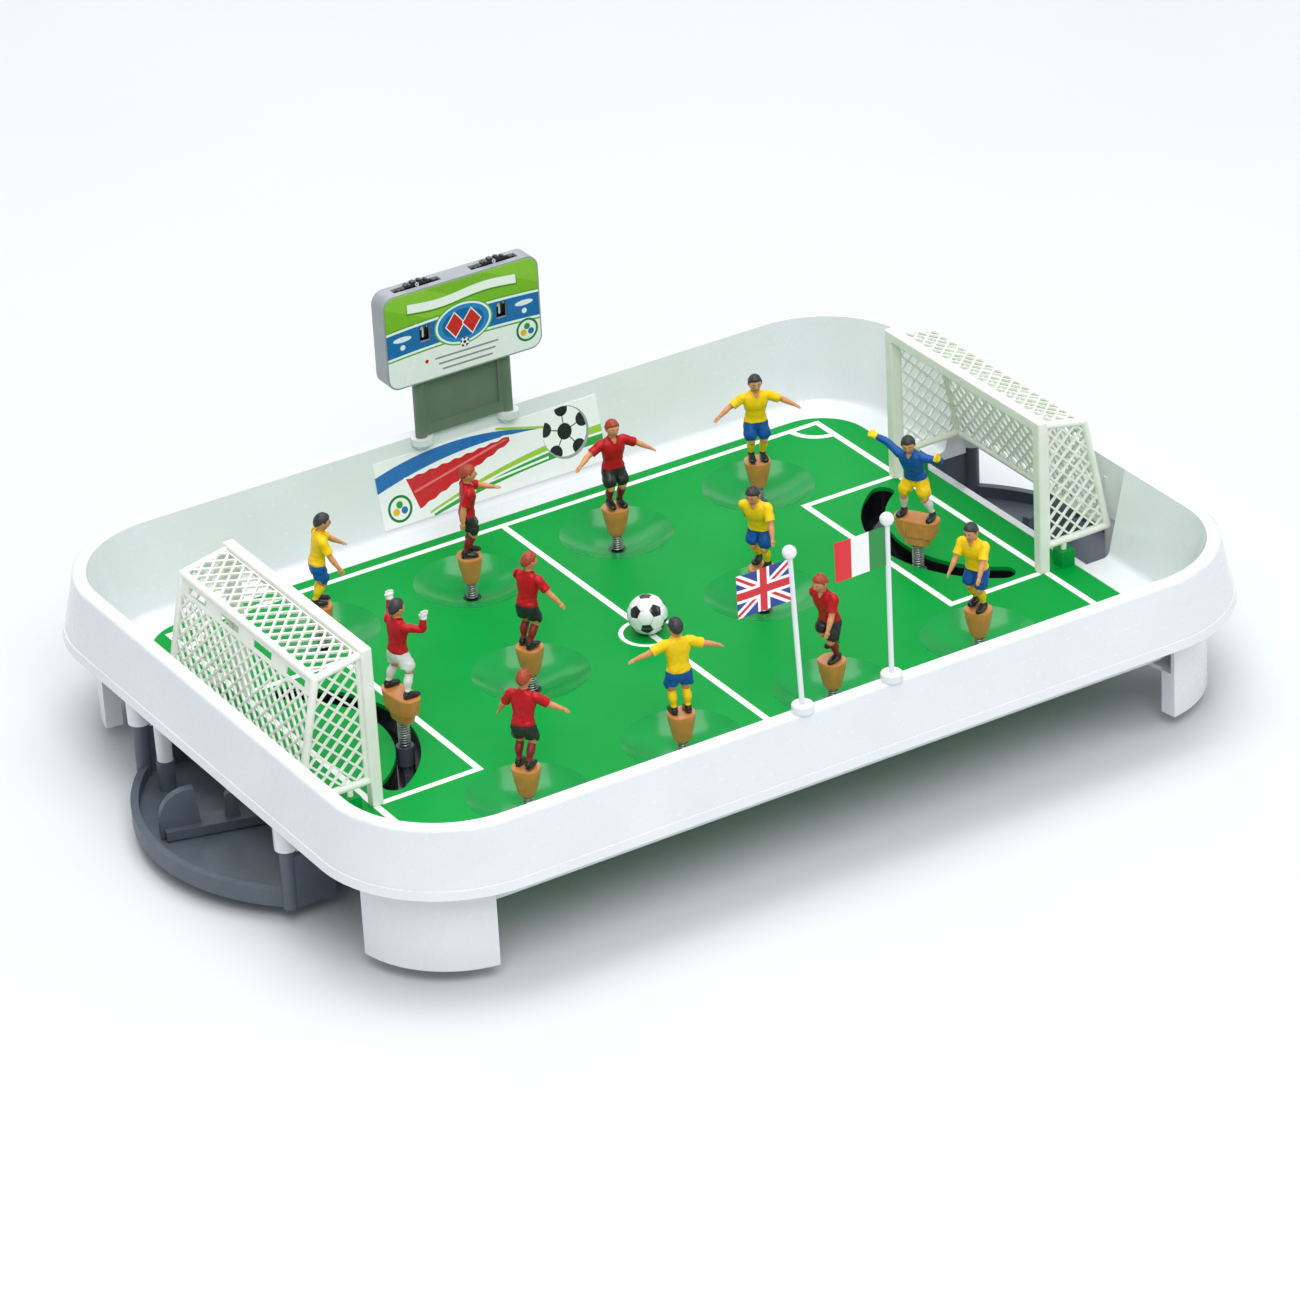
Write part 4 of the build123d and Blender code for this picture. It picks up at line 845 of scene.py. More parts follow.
def make_piece(name: str, skins: list[Skin], materials: list[bpy.types.Material], turn: Array | None = None,
               shift: Triple = (0, 0, 0), sharp: float = 50.0) -> bpy.types.Object:
    """Build one mesh from grids given in mm.

    Args:
        name: object name.
        skins: the grids.
        materials: the slots.
        turn: 3x3 rotation put on the points.
        shift: move after the turn, in mm.
        sharp: angle above which an edge stays crisp, in degrees.
    Returns:
        The object, at the origin with its place in the mesh.
    """
    points, faces, slots, tags, start = [], [], [], {}, 0
    known = {key for skin in skins for key in skin.tags}
    for skin in skins:
        rows, cols = skin.points.shape[:2]
        flat = skin.points.reshape(-1, 3)
        extra = []
        i = np.arange(rows if skin.loop else rows - 1)
        j = np.arange(cols if skin.wrap else cols - 1)
        a, b = np.meshgrid(i, j, indexing="ij")
        up, over = (a + 1) % rows, (b + 1) % cols
        quads = np.stack([a * cols + b, a * cols + over, up * cols + over, up * cols + b], -1).reshape(-1, 4)
        closing = []
        if skin.caps and skin.wrap and not skin.loop:
            for row, flip in ((0, True), (rows - 1, False)):
                extra.append(skin.points[row].mean(0))
                hub = len(flat) + len(extra) - 1
                ring = row * cols + np.arange(cols)
                pair = (np.roll(ring, -1), ring) if flip else (ring, np.roll(ring, -1))
                closing += [[int(p), int(q), hub] for p, q in zip(*pair)]
        body = np.vstack([flat, *extra]) if extra else flat
        tri = np.vstack([quads[:, :3], quads[:, [0, 2, 3]], np.array(closing, int).reshape(-1, 3)])
        volume = np.einsum("ij,ij->i", body[tri[:, 0]], np.cross(body[tri[:, 1]], body[tri[:, 2]])).sum()
        polygons = [list(q) for q in (quads[:, ::-1] if volume < 0 and closing else quads).tolist()]
        polygons += [t[::-1] if volume < 0 else t for t in closing]
        faces += [[k + start for k in poly] for poly in polygons]
        slots += [skin.slot] * len(polygons)
        points.append(body)
        for key in known:
            values = skin.tags.get(key, np.full(rows * cols, -1.0)).reshape(-1)
            tags.setdefault(key, []).append(np.concatenate([values, np.full(len(extra), values[-1])]))
        start += len(body)
    every = np.vstack(points)
    if turn is not None:
        every = every @ np.asarray(turn).T
    every = (every + np.array(shift)) * MM
    mesh = bpy.data.meshes.new(name)
    mesh.from_pydata(every.tolist(), [], faces)
    for item in materials:
        mesh.materials.append(item)
    mesh.polygons.foreach_set("material_index", slots)
    mesh.polygons.foreach_set("use_smooth", [True] * len(faces))
    for key, parts in tags.items():
        layer = mesh.attributes.new(key, "FLOAT", "POINT")
        layer.data.foreach_set("value", np.concatenate(parts).astype(np.float32))
    mesh.set_sharp_from_angle(angle=math.radians(sharp))
    mesh.update()
    made = bpy.data.objects.new(name, mesh)
    bpy.context.scene.collection.objects.link(made)
    LOG.info("%s: %d faces", name, len(faces))
    return made


def lean_about(angle: float, height: float) -> tuple[Array, Array]:
    """Rotation by angle degrees about the sideways axis at a height.

    Args:
        angle: forward lean.
        height: the axis's height.
    Returns:
        The matrix and the shift that go with it: p' = R p + s.
    """
    a = math.radians(angle)
    turn = np.array([[math.cos(a), 0, math.sin(a)], [0, 1, 0], [-math.sin(a), 0, math.cos(a)]])
    pivot = np.array([0, 0, height])
    return turn, pivot - turn @ pivot


# ---------------------------------------------------------------- figures
@dataclass(frozen=True)
class Kit:
    """The painted finishes of one figure."""

    shirt: Finish
    shorts: Finish
    socks: Finish
    hair: Finish
    gloves: Finish | None = None


class Kits(Enum):
    """The four outfits."""

    RED = Kit(Finish.SHIRT_RED, Finish.SHORTS_BLACK, Finish.SOCK_RED, Finish.HAIR_AUBURN)
    YELLOW = Kit(Finish.SHIRT_YELLOW, Finish.SHIRT_BLUE, Finish.SHIRT_YELLOW, Finish.HAIR_DARK)
    RED_KEEPER = Kit(Finish.SHIRT_RED, Finish.SHORTS_WHITE, Finish.SHORTS_WHITE, Finish.HAIR_DARK, Finish.SHORTS_WHITE)
    BLUE_KEEPER = Kit(Finish.SHIRT_BLUE, Finish.SHIRT_YELLOW, Finish.SHORTS_WHITE, Finish.HAIR_DARK,
                      Finish.SHIRT_YELLOW)


@dataclass(frozen=True)
class Pose:
    """How one figure stands: feet as (forward, out, up) in mm, arms as (swing, raise) in degrees.

    An arm's third and fourth numbers turn the forearm where it is folded.
    """

    left_arm: tuple[float, ...]
    right_arm: tuple[float, ...]
    lean: float
    left_foot: Triple = (1.5, 3.6, 0.0)
    right_foot: Triple = (-0.5, 3.4, 0.0)
    head_turn: float = 0.0
    bend: float = 12.0


@dataclass
class Figure:
    """One painted footballer on its base, built facing +X with the soles at zero.

    The name is its body's and node's. A keeper has the wide base and long sleeves. Sizes are in mm.
    """

    SLOTS = ("base", "skin", "shirt", "shorts", "socks", "boots", "hair", "gloves", "eye", "dark", "lip")
    name: str
    kit: Kit
    pose: Pose
    keeper: bool = False
    hip: float = 22.0
    hip_half: float = 3.0
    shoulder: float = 38.0
    shoulder_half: float = 6.4
    upper_arm: float = 9.0
    fore_arm: float = 10.0
    hand_length: float = 3.4
    sleeve: float = 6.4
    base_height: float = 15.0
    skins: list[Skin] = field(default_factory=list)

    def __post_init__(self) -> None:
        """Work out the upper body's lean."""
        self.turn, self.shift = lean_about(self.pose.lean, self.hip)

    def add(self, grid: Array, slot: str, upper: bool = False) -> None:
        """Add a grid, leaning it with the upper body when asked.

        Args:
            grid: points.
            slot: material slot name.
            upper: True above the hips.
        """
        placed = grid @ self.turn.T + self.shift if upper else grid
        self.skins.append(Skin(placed, self.SLOTS.index(slot)))

    def base(self) -> None:
        """Tapered barrel for a player, stepped boat shape for a keeper."""
        if self.keeper:
            rows = [(0, 0, -17.4, 2.0, 2.0), (0, 0, -15.2, 2.0, 2.0), (0, 0, -15.0, 3.6, 6.4), (0, 0, -14.4, 4.0, 7.0),
                    (0, 0, -10.6, 4.5, 8.0), (0, 0, -10.2, 4.7, 8.4), (0, 0, -9.6, 5.3, 10.2), (0, 0, -8.8, 5.5, 10.7),
                    (0, 0, -2.6, 5.8, 12.0), (0, 0, -0.7, 5.9, 12.4), (0, 0, -0.15, 5.6, 12.2), (0, 0, 0, 5.2, 11.8),
                    (0, 0, 0.05, 2, 6)]
            self.add(sweep(rows, 60, 40, 3.0), "base")
            for side in (-1, 1):
                rib = [(5.0, side * 4.5, -9.4, 0.1, 0.1), (5.5, side * 4.6, -8.6, 0.5, 0.6),
                       (5.75, side * 5.0, -3.0, 0.5, 0.6), (5.8, side * 5.0, -1.6, 0.1, 0.1)]
                self.add(sweep(rib, 10, 10), "base")
            return
        rows = [(0, 0, -17.4, 2.0, 2.0), (0, 0, -15.2, 2.0, 2.0), (0, 0, -15.0, 3.6, 3.8), (0, 0, -14.5, 4.1, 4.4),
                (0, 0, -10.0, 5.1, 5.4), (0, 0, -4.5, 6.1, 6.5), (0, 0, -1.0, 6.35, 6.9), (0, 0, -0.25, 6.2, 6.75),
                (0, 0, 0, 5.7, 6.3), (0, 0, 0.05, 2, 2)]
        self.add(sweep(rows, 48, 36, 2.6), "base")

    def foot_point(self, side: int) -> Array:
        """Where a sole rests. Args: side. Returns: (x, y, z)."""
        forward, out, up = self.pose.left_foot if side > 0 else self.pose.right_foot
        return np.array([forward, side * out, up])

    def leg(self, side: int) -> None:
        """Boot, sock, knee, thigh and the leg of the shorts.

        Args:
            side: 1 left, -1 right.
        """
        sole = self.foot_point(side)
        hip = np.array([0, side * self.hip_half, self.hip])
        ankle = sole + (-1.9, 0, 3.4)
        knee = (ankle + hip) / 2 + (1.5 + 0.13 * self.pose.bend + 0.25 * sole[2], side * 0.35, 0.4)
        dip = min(sole[2] * 0.22, 1.6)
        x, y, z = sole
        boot = [(x - 4.0, y, z + 1.7 + dip, 0.3, 0.3), (x - 3.8, y, z + 1.7 + dip, 1.4, 1.3),
                (x - 2.6, y, z + 1.9 + dip, 1.8, 1.75), (x - 0.6, y, z + 1.75 + dip / 2, 1.7, 1.8),
                (x + 1.8, y + side * 0.3, z + 1.4, 1.35, 2.0), (x + 3.6, y + side * 0.4, z + 1.15, 1.1, 1.8),
                (x + 4.6, y + side * 0.3, z + 1.0, 0.75, 1.2), (x + 4.9, y + side * 0.3, z + 1.0, 0.2, 0.3)]
        shoe = sweep(boot, 26, 20, 2.3, (0, 0, 1))
        shoe[..., 2] = np.maximum(shoe[..., 2], z + 0.02)
        self.add(shoe, "boots")
        rim = [(x - 4.0, y, z + 0.5, 0.35, 1.1), (x - 1.0, y, z + 0.45, 0.4, 1.85),
               (x + 2, y, z + 0.45, 0.4, 2.1), (x + 4.9, y + side * 0.3, z + 0.45, 0.35, 1.0)]
        self.add(sweep(rim, 14, 12, 3.0, (0, 0, 1)), "boots")
        for i in range(4):
            lace = np.array([x + 0.1 + 0.7 * i, y, z + 3.25 - 0.3 * i])
            bar = [(*(lace + (0, -0.9, -0.1)), 0.1, 0.1), (*(lace + (0, 0, 0.18)), 0.2, 0.2),
                   (*(lace + (0, 0.9, -0.1)), 0.1, 0.1)]
            self.add(sweep(bar, 6, 6, 2.0, (0, 0, 1)), "dark")
        cuff = [(*(ankle + (0, 0, -0.9)), 1.9, 1.7), (*(ankle + (0.05, 0, 0.1)), 1.95, 1.75),
                (*(ankle + (0.05, 0, 0.7)), 1.8, 1.62), (*(ankle + (0.05, 0, 0.75)), 1.3, 1.2)]
        self.add(sweep(cuff, 10, 18), "boots")
        top = ankle + (knee - ankle) * 0.8
        calf = ankle + (knee - ankle) * 0.52 + (-0.5, side * 0.15, 0)
        sock = [(*ankle, 1.45, 1.4), (*(ankle + (knee - ankle) * 0.22), 1.6, 1.5), (*calf, 2.35, 2.15),
                (*top, 2.1, 2.05), (*(top + (knee - ankle) * 0.02), 2.2, 2.15),
                (*(top + (knee - ankle) * 0.07), 2.1, 2.05), (*(top + (knee - ankle) * 0.08), 1.6, 1.6)]
        grid = sweep(sock, 30, 20)
        self.add(swell(grid, 0.06 * np.sin(grid[..., 2] * 3.2)), "socks")
        thigh = hip + (0.3, side * 0.3, -2)
        limb = [(*(top + (knee - top) * -0.2), 1.8, 1.8), (*(knee + (-0.1, 0, -0.9)), 2.05, 1.95), (*knee, 2.3, 2.15),
                (*(knee + (thigh - knee) * 0.35), 2.4, 2.4), (*(knee + (thigh - knee) * 0.75), 3.0, 2.95),
                (*thigh, 3.1, 3.1)]
        self.add(sweep(limb, 24, 20), "skin")
        hem = knee + (hip - knee) * 0.34 + (0.1, side * 0.3, 0)
        trouser = [(*(hem + (0, 0, 0.35)), 2.9, 2.9), (*hem, 3.75, 3.65), (*(hem + (0, 0, 0.45)), 3.9, 3.8),
                   (*(hem + (hip - hem) * 0.45), 3.75, 3.6), (*(hip + (0, side * -0.1, 0.5)), 3.6, 3.4),
                   (*(hip + (0, side * -0.9, 2.6)), 2.3, 2.3)]
        grid = sweep(trouser, 30, 30)
        self.add(swell(grid, 0.24 * lumps(grid, 6.5, side + len(self.name))), "shorts")

    def trunk(self) -> None:
        """Hips, shirt with folds, collar and neck."""
        hips = [(0.1, 0, 17.9, 0.8, 1.6), (0.0, 0, 18.6, 3.2, 4.6), (0, 0, 21.5, 3.8, 6.0), (0, 0, 24.0, 3.5, 5.4),
                (0, 0, 25.6, 2.9, 4.6), (0, 0, 26.6, 2, 3)]
        grid = sweep(hips, 24, 34, 2.3)
        self.add(swell(grid, 0.15 * lumps(grid, 7.0, 2.0)), "shorts")
        shirt = [(0, 0, 24.6, 2.6, 4.2), (0, 0, 24.0, 4.0, 6.0), (0, 0, 24.6, 4.15, 6.15), (0.1, 0, 27.5, 3.7, 5.3),
                 (0.2, 0, 30.5, 3.7, 5.6), (0.35, 0, 34.0, 4.0, 6.5), (0.2, 0, 37.2, 3.7, 7.0),
                 (0.0, 0, 39.2, 3.1, 6.2), (0, 0, 40.4, 2.5, 4.0), (0.1, 0, 41.0, 2.2, 2.6), (0.1, 0, 41.1, 1.6, 1.8)]
        grid = sweep(shirt, 64, 48, 2.35)
        low = np.clip((36 - grid[..., 2]) / 8, 0.25, 1)
        fold = 0.26 * low * lumps(grid, 6.0, 0.7 * len(self.name) + self.pose.lean)
        chest = 0.35 * np.exp(-((grid[..., 2] - 35) / 2.2) ** 2 - ((np.abs(grid[..., 1]) - 3) / 2.2) ** 2)
        self.add(swell(grid, fold + np.where(grid[..., 0] > 1, chest, 0)), "shirt", True)
        neck = [(0.0, 0, 39.0, 1.9, 1.9), (0.1, 0, 41.0, 2.0, 2.05), (0.3, 0, 43.2, 2.0, 1.95),
                (0.4, 0, 44.6, 1.6, 1.6)]
        self.add(sweep(neck, 12, 20), "skin", True)
        vee = [(3.35, 0, 37.0, 0.1, 0.1), (3.35, 0, 37.8, 0.3, 0.5), (2.7, 0, 39.6, 0.55, 1.25),
               (1.7, 0, 41.0, 0.6, 1.7)]
        self.add(sweep(vee, 10, 14), "skin", True)
        for side in (-1, 1):
            flap = [(3.5, side * 0.1, 36.9, 0.15, 0.15), (3.35, side * 1.0, 38.6, 0.28, 0.5),
                    (2.2, side * 2.0, 40.6, 0.32, 0.55), (0.2, side * 2.4, 41.4, 0.32, 0.5),
                    (-1.9, side * 1.4, 41.3, 0.3, 0.5), (-2.4, 0, 41.2, 0.3, 0.45)]
            self.add(sweep(flap, 22, 10), "shirt", True)

    @staticmethod
    def heading(side: int, swing: float, lift: float) -> Array:
        """Unit way of a limb: (sin swing cos lift, side sin lift, -cos swing cos lift).

        Args:
            side: 1 left, -1 right.
            swing: forward angle.
            lift: outward angle.
        Returns:
            The unit vector.
        """
        a, b = math.radians(swing), math.radians(lift)
        return np.array([math.sin(a) * math.cos(b), side * math.sin(b), -math.cos(a) * math.cos(b)])

    def arm(self, side: int, *angles: float) -> None:
        """Sleeve, arm and hand, or glove.

        Args:
            side: 1 left, -1 right.
            angles: the upper arm's swing and raise, then the forearm's where it is folded.
        """
        way = self.heading(side, *angles[:2])
        shoulder = np.array([0, side * self.shoulder_half, self.shoulder])
        elbow = shoulder + way * self.upper_arm
        bent = self.heading(side, *angles[2:]) if len(angles) > 2 else way + np.array([0.28, 0, -0.05])
        bent /= np.linalg.norm(bent)
        wrist = elbow + bent * (self.fore_arm - self.hand_length)
        root = shoulder - np.array([0, side * 2.2, 0.2])
        hint = (1, 0, 0) if max(abs(way[0]), abs(bent[0])) < 0.8 else (0, 1, 0)
        skin = [(*shoulder, 1.9, 1.9), (*(shoulder + way * 5), 1.75, 1.75), (*elbow, 1.5, 1.5),
                (*(elbow + bent * 2.2), 1.6, 1.5), (*wrist, 1.05, 1.0), (*(wrist + bent * 0.6), 0.95, 0.95)]
        if self.keeper:
            sleeve = [(*root, 2.3, 2.4), (*shoulder, 2.5, 2.6), (*(shoulder + way * 4), 2.15, 2.2),
                      (*elbow, 1.95, 1.95), (*(elbow + bent * 3), 1.9, 1.85), (*wrist, 1.55, 1.5),
                      (*(wrist + bent * 0.4), 1.5, 1.5), (*(wrist + bent * 0.3), 0.9, 0.9)]
        else:
            self.add(sweep(skin, 24, 16, 2, hint), "skin", True)
            sleeve = [(*root, 2.3, 2.5), (*shoulder, 2.6, 2.75), (*(shoulder + way * 3.4), 2.45, 2.5),
                      (*(shoulder + way * self.sleeve), 2.55, 2.6),
                      (*(shoulder + way * (self.sleeve + 0.3)), 2.3, 2.35),
                      (*(shoulder + way * (self.sleeve - 0.2)), 1.6, 1.6)]
        grid = sweep(sleeve, 34, 22, 2, hint)
        self.add(swell(grid, 0.17 * lumps(grid, 4.6, side * 1.7)), "shirt", True)
        self.hand(side, wrist, bent, hint)

    def hand(self, side: int, wrist: Array, way: Array, hint: Triple) -> None:
        """Palm with four fingers and a thumb.

        Args:
            side: 1 left, -1 right.
            wrist: where it starts.
            way: unit direction of the hand.
            hint: direction across the fingers.
        """
        slot, k = ("gloves", 1.7) if self.keeper else ("skin", 1.0)
        across = np.array(hint, float) - way * (way @ np.array(hint, float))
        across /= np.linalg.norm(across)
        out = np.cross(way, across)
        palm = [(*wrist, 0.95 * k, 0.8 * k), (*(wrist + way * 0.9), 1.15 * k, 0.75 * k),
                (*(wrist + way * 2.2), 1.35 * k, 0.68 * k), (*(wrist + way * 2.7), 0.9 * k, 0.4 * k)]
        self.add(sweep(palm, 14, 16, 2.4, tuple(across)), slot, True)
        if self.keeper:
            cuff = [(*(wrist - way * 0.7), 1.5, 1.45), (*(wrist - way * 0.6), 1.95, 1.85),
                    (*(wrist + way * 0.5), 1.85, 1.7), (*(wrist + way * 0.7), 1.3, 1.2)]
            self.add(sweep(cuff, 12, 18, 2, tuple(across)), slot, True)
        for i in range(4):
            spot = wrist + way * 2.1 + across * (i - 1.5) * 0.66 * k
            tip = spot + way * (1.7, 2.1, 2.0, 1.6)[i] * (0.85 if k > 1 else 1) + out * side * 0.25
            finger = [(*spot, 0.36 * k, 0.36 * k), (*((spot + tip) / 2 + out * side * 0.05), 0.38 * k, 0.38 * k),
                      (*tip, 0.3 * k, 0.3 * k), (*(tip + way * 0.25), 0.08, 0.08)]
            self.add(sweep(finger, 9, 10, 2, tuple(across)), slot, True)
        spot = wrist + way * 0.7 - across * 0.8 * k
        tip = spot + way * 1.5 - across * 0.75 * k
        thumb = [(*spot, 0.42 * k, 0.42 * k), (*((spot + tip) / 2), 0.42 * k, 0.42 * k), (*tip, 0.3 * k, 0.3 * k)]
        self.add(sweep(thumb, 9, 10, 2, tuple(out)), slot, True)

    def head(self) -> None:
        """Plain face with brow, nose, ears, eyes and mouth, and combed hair."""
        unit, theta, phi = globe(40, 56, 0.02)
        x, y, z = (unit[..., i] for i in range(3))
        jaw = np.clip(-z, 0, 1)
        depth = 4.0 - 0.5 * jaw
        width = 3.35 - 0.95 * jaw ** 1.3
        shape = np.stack([depth * x, width * y, 4.75 * z], -1)
        front = np.clip(x, 0, 1)
        nose = 0.95 * np.exp(-(y / 0.17) ** 2 - ((z + 0.12) / 0.16) ** 2) * front
        bridge = 0.35 * np.exp(-(y / 0.13) ** 2 - ((z - 0.1) / 0.2) ** 2) * front
        brow = 0.24 * np.exp(-((np.abs(y) - 0.36) / 0.26) ** 2 - ((z - 0.22) / 0.09) ** 2) * front
        socket = -0.26 * np.exp(-((np.abs(y) - 0.38) / 0.18) ** 2 - ((z - 0.07) / 0.1) ** 2) * front
        chin = 0.5 * np.exp(-(y / 0.32) ** 2 - ((z + 0.78) / 0.18) ** 2) * front
        lips = 0.22 * np.exp(-(y / 0.3) ** 2 - ((z + 0.44) / 0.09) ** 2) * front
        cheek = 0.14 * np.exp(-((np.abs(y) - 0.6) / 0.2) ** 2 - ((z + 0.1) / 0.2) ** 2) * front
        shape[..., 0] += nose + bridge + brow + socket + chin + lips + cheek
        turn = heading_turn(self.pose.head_turn)
        centre = np.array([0.5, 0, 46.1])
        self.add(shape @ turn.T + centre, "skin", True)
        line = 0.30 + 0.32 * np.clip(x, -1, 1) - 0.55 * np.clip(-x, 0, 1)
        side_burn = 0.35 * np.exp(-((x - 0.12) / 0.2) ** 2) * (np.abs(y) > 0.7)
        mask = 1 / (1 + np.exp(-(z - line + side_burn) * 26))
        comb = 0.09 * np.sin(phi * 19 + 4 * z) * np.sin(theta) + 0.05 * np.sin(phi * 41 + 7 * z)
        hair = shape * (1 + (mask * 0.62 - 0.34 * (1 - mask) + mask * comb)[..., None] / 4.2)
        self.add(hair @ turn.T + centre, "hair", True)
        for side in (-1, 1):
            ear = [(-0.1, side * 3.15, -1.0, 0.1, 0.1), (0.1, side * 3.35, -0.7, 0.5, 0.35),
                   (-0.1, side * 3.5, 0.2, 0.75, 0.42), (-0.3, side * 3.45, 0.9, 0.6, 0.35),
                   (-0.3, side * 3.2, 1.2, 0.1, 0.1)]
            self.add(sweep(ear, 12, 12) @ turn.T + centre, "skin", True)
            for grow, slot, push in ((1.0, "eye", 0.0), (0.5, "dark", 0.14)):
                spot = np.array([3.42 + push, side * 1.28, 0.4])
                eye = [(*(spot - (0.3, 0, 0)), 0.1, 0.1), (*spot, 0.34 * grow, 0.52 * grow),
                       (*(spot + (0.16, 0, 0)), 0.1, 0.15)]
                self.add(sweep(eye, 7, 12, 2, (0, 0, 1)) @ turn.T + centre, slot, True)
            hair_brow = [(3.25, side * 2.05, 1.0, 0.05, 0.05), (3.7, side * 1.4, 1.3, 0.16, 0.2),
                         (3.95, side * 0.6, 1.15, 0.1, 0.1)]
            self.add(sweep(hair_brow, 8, 8, 2, (0, 0, 1)) @ turn.T + centre, "hair", True)
        mouth = [(3.3, -0.95, -2.05, 0.05, 0.05), (3.78, 0, -2.1, 0.2, 0.16), (3.3, 0.95, -2.05, 0.05, 0.05)]
        self.add(sweep(mouth, 10, 8, 2, (0, 0, 1)) @ turn.T + centre, "lip", True)

    def build(self, place: Triple, facing: float) -> bpy.types.Object:
        """Put the figure together.

        Args:
            place: where the soles' middle goes, in mm.
            facing: heading in degrees.
        Returns:
            The object, riding on its body and standing for its node.
        """
        self.base()
        for side, arm in ((1, self.pose.left_arm), (-1, self.pose.right_arm)):
            self.leg(side)
            self.arm(side, *arm)
        self.trunk()
        self.head()
        kit = self.kit
        finishes = (Finish.PVC_TAN, Finish.SKIN, kit.shirt, kit.shorts, kit.socks, Finish.BOOT_BLACK, kit.hair,
                    kit.gloves or Finish.SKIN, Finish.EYE_WHITE, Finish.BOOT_BLACK, Finish.LIP)
        dressed = [finish.material() for finish in finishes]
        made = make_piece("figure_" + self.name, self.skins, dressed, heading_turn(facing), place, 70)
        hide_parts(self.name)
        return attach(made, self.name)


class Team:
    """All twelve figures with their springs."""

    POSES = {
        "player_red_1": (Kits.RED, Pose((10, 62), (10, 62), 3, (0.5, 3.4, 0), (1.8, 3.2, 1.6), 0, 16)),
        "player_red_2": (Kits.RED, Pose((75, 5), (-20, 8), 4, (1.8, 3.4, 0), (-0.6, 3.2, 0), 0, 16)),
        "player_red_3": (Kits.RED, Pose((55, 15), (20, 40), 8, (1.4, 3.4, 0), (-1.4, 3.2, 1.0), -20, 14)),
        "player_red_4": (Kits.RED, Pose((20, 35), (45, 45), 8, (1.6, 3.4, 0), (-1.4, 3.2, 1.2), 0, 14)),
        "player_red_5": (Kits.RED, Pose((40, 10), (-25, 12), 14, (0.6, 2.6, 0), (-4.2, 2.8, 5.0), 0, 22)),
        "player_yellow_1": (Kits.YELLOW, Pose((5, 65), (5, 60), 5, (0.3, 3.4, 0), (1.9, 3.2, 1.4), 0, 14)),
        "player_yellow_2": (Kits.YELLOW, Pose((40, 20), (-35, 15), 18, (1.6, 3.2, 0), (-2.2, 3.0, 1.5), 0, 20)),
        "player_yellow_3": (Kits.YELLOW, Pose((5, 68), (5, 68), 3, (1.0, 3.6, 0), (0.6, 3.4, 0), 0, 6)),
        "player_yellow_4": (Kits.YELLOW, Pose((45, 8), (40, 10), 12, (1.4, 2.8, 0), (-1.4, 2.8, 1.2), 0, 20)),
        "player_yellow_5": (Kits.YELLOW, Pose((60, 10), (30, 20), 10, (1.6, 3.4, 0), (-1.2, 3.2, 0.8), 0, 14)),
        "keeper_red": (Kits.RED_KEEPER,
                       Pose((90, 50, 175, 5), (90, 50, 175, 5), 2, (0.6, 8.2, 0), (0.6, 7.8, 0), 0, 10)),
        "keeper_yellow": (Kits.BLUE_KEEPER,
                          Pose((-40, 75, 146, 8), (-150, 58), 17, (0.4, 8.2, 0), (0.4, 8.0, 0), 20, 16)),
    }

    def build(self) -> None:
        """Stand each figure over its spring and coil the springs."""
        for joint in frame["joints"]:
            name = joint["child"]
            if name not in self.POSES:
                continue
            kits, pose = self.POSES[name]
            low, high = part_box("spring_" + name)
            middle = (low + high) / 2
            axis = joint["axis"]
            facing = math.degrees(math.atan2(-axis[0], axis[1]))
            sole = (middle.x / MM, middle.y / MM, high.z / MM + Figure.base_height)
            Figure(name, kits.value, pose, name.startswith("keeper")).build(sole, facing)
            Coil("spring_" + name, joint["parent"], name).build()


@dataclass(frozen=True)
class Coil:
    """A wound compression spring."""

    node: str
    lower: str
    upper: str
    wire: float = 0.8
    pitch: float = 1.65
    end_turn: float = 0.8
    end_share: float = 0.07
    turn_points: int = 22

    def build(self) -> bpy.types.Object:
        """Wind the wire: closed end turns, even turns between.

        Returns:
            The object.
        """
        low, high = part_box(self.node)
        x, y = (low.x + high.x) / 2 / MM, (low.y + high.y) / 2 / MM
        outer = (high.x - low.x) / 2 / MM
        radius = outer - self.wire / 2
        tall = (high.z - low.z) / MM - self.wire
        turns = tall / self.pitch + 2
        samples = int(turns * self.turn_points)
        s = np.linspace(0, 1, samples)
        angle = s * turns * 2 * np.pi
        rise = np.clip((s * turns - self.end_turn) / (turns - 2 * self.end_turn), 0, 1)
        ends = np.clip(s * turns, 0, 1) + np.clip(s * turns - turns + 1, 0, 1)
        height = low.z / MM + self.wire / 2 + tall * (rise * (1 - 2 * self.end_share) + self.end_share * ends)
        line = np.stack([x + radius * np.cos(angle), y + radius * np.sin(angle), height], 1)
        along = np.gradient(line, axis=0)
        along /= np.linalg.norm(along, axis=1, keepdims=True)
        first = np.stack([np.cos(angle), np.sin(angle), 0 * angle], 1)
        second = np.cross(along, first)
        ring = ring_shape(10, 2.0) * self.wire / 2
        grid = line[:, None] + first[:, None] * ring[None, :, :1] + second[:, None] * ring[None, :, 1:]
        made = make_piece("coil_" + self.node, [Skin(grid)], [Finish.ZINC_WIRE.material()])
        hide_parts(self.node)
        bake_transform(made)
        return made


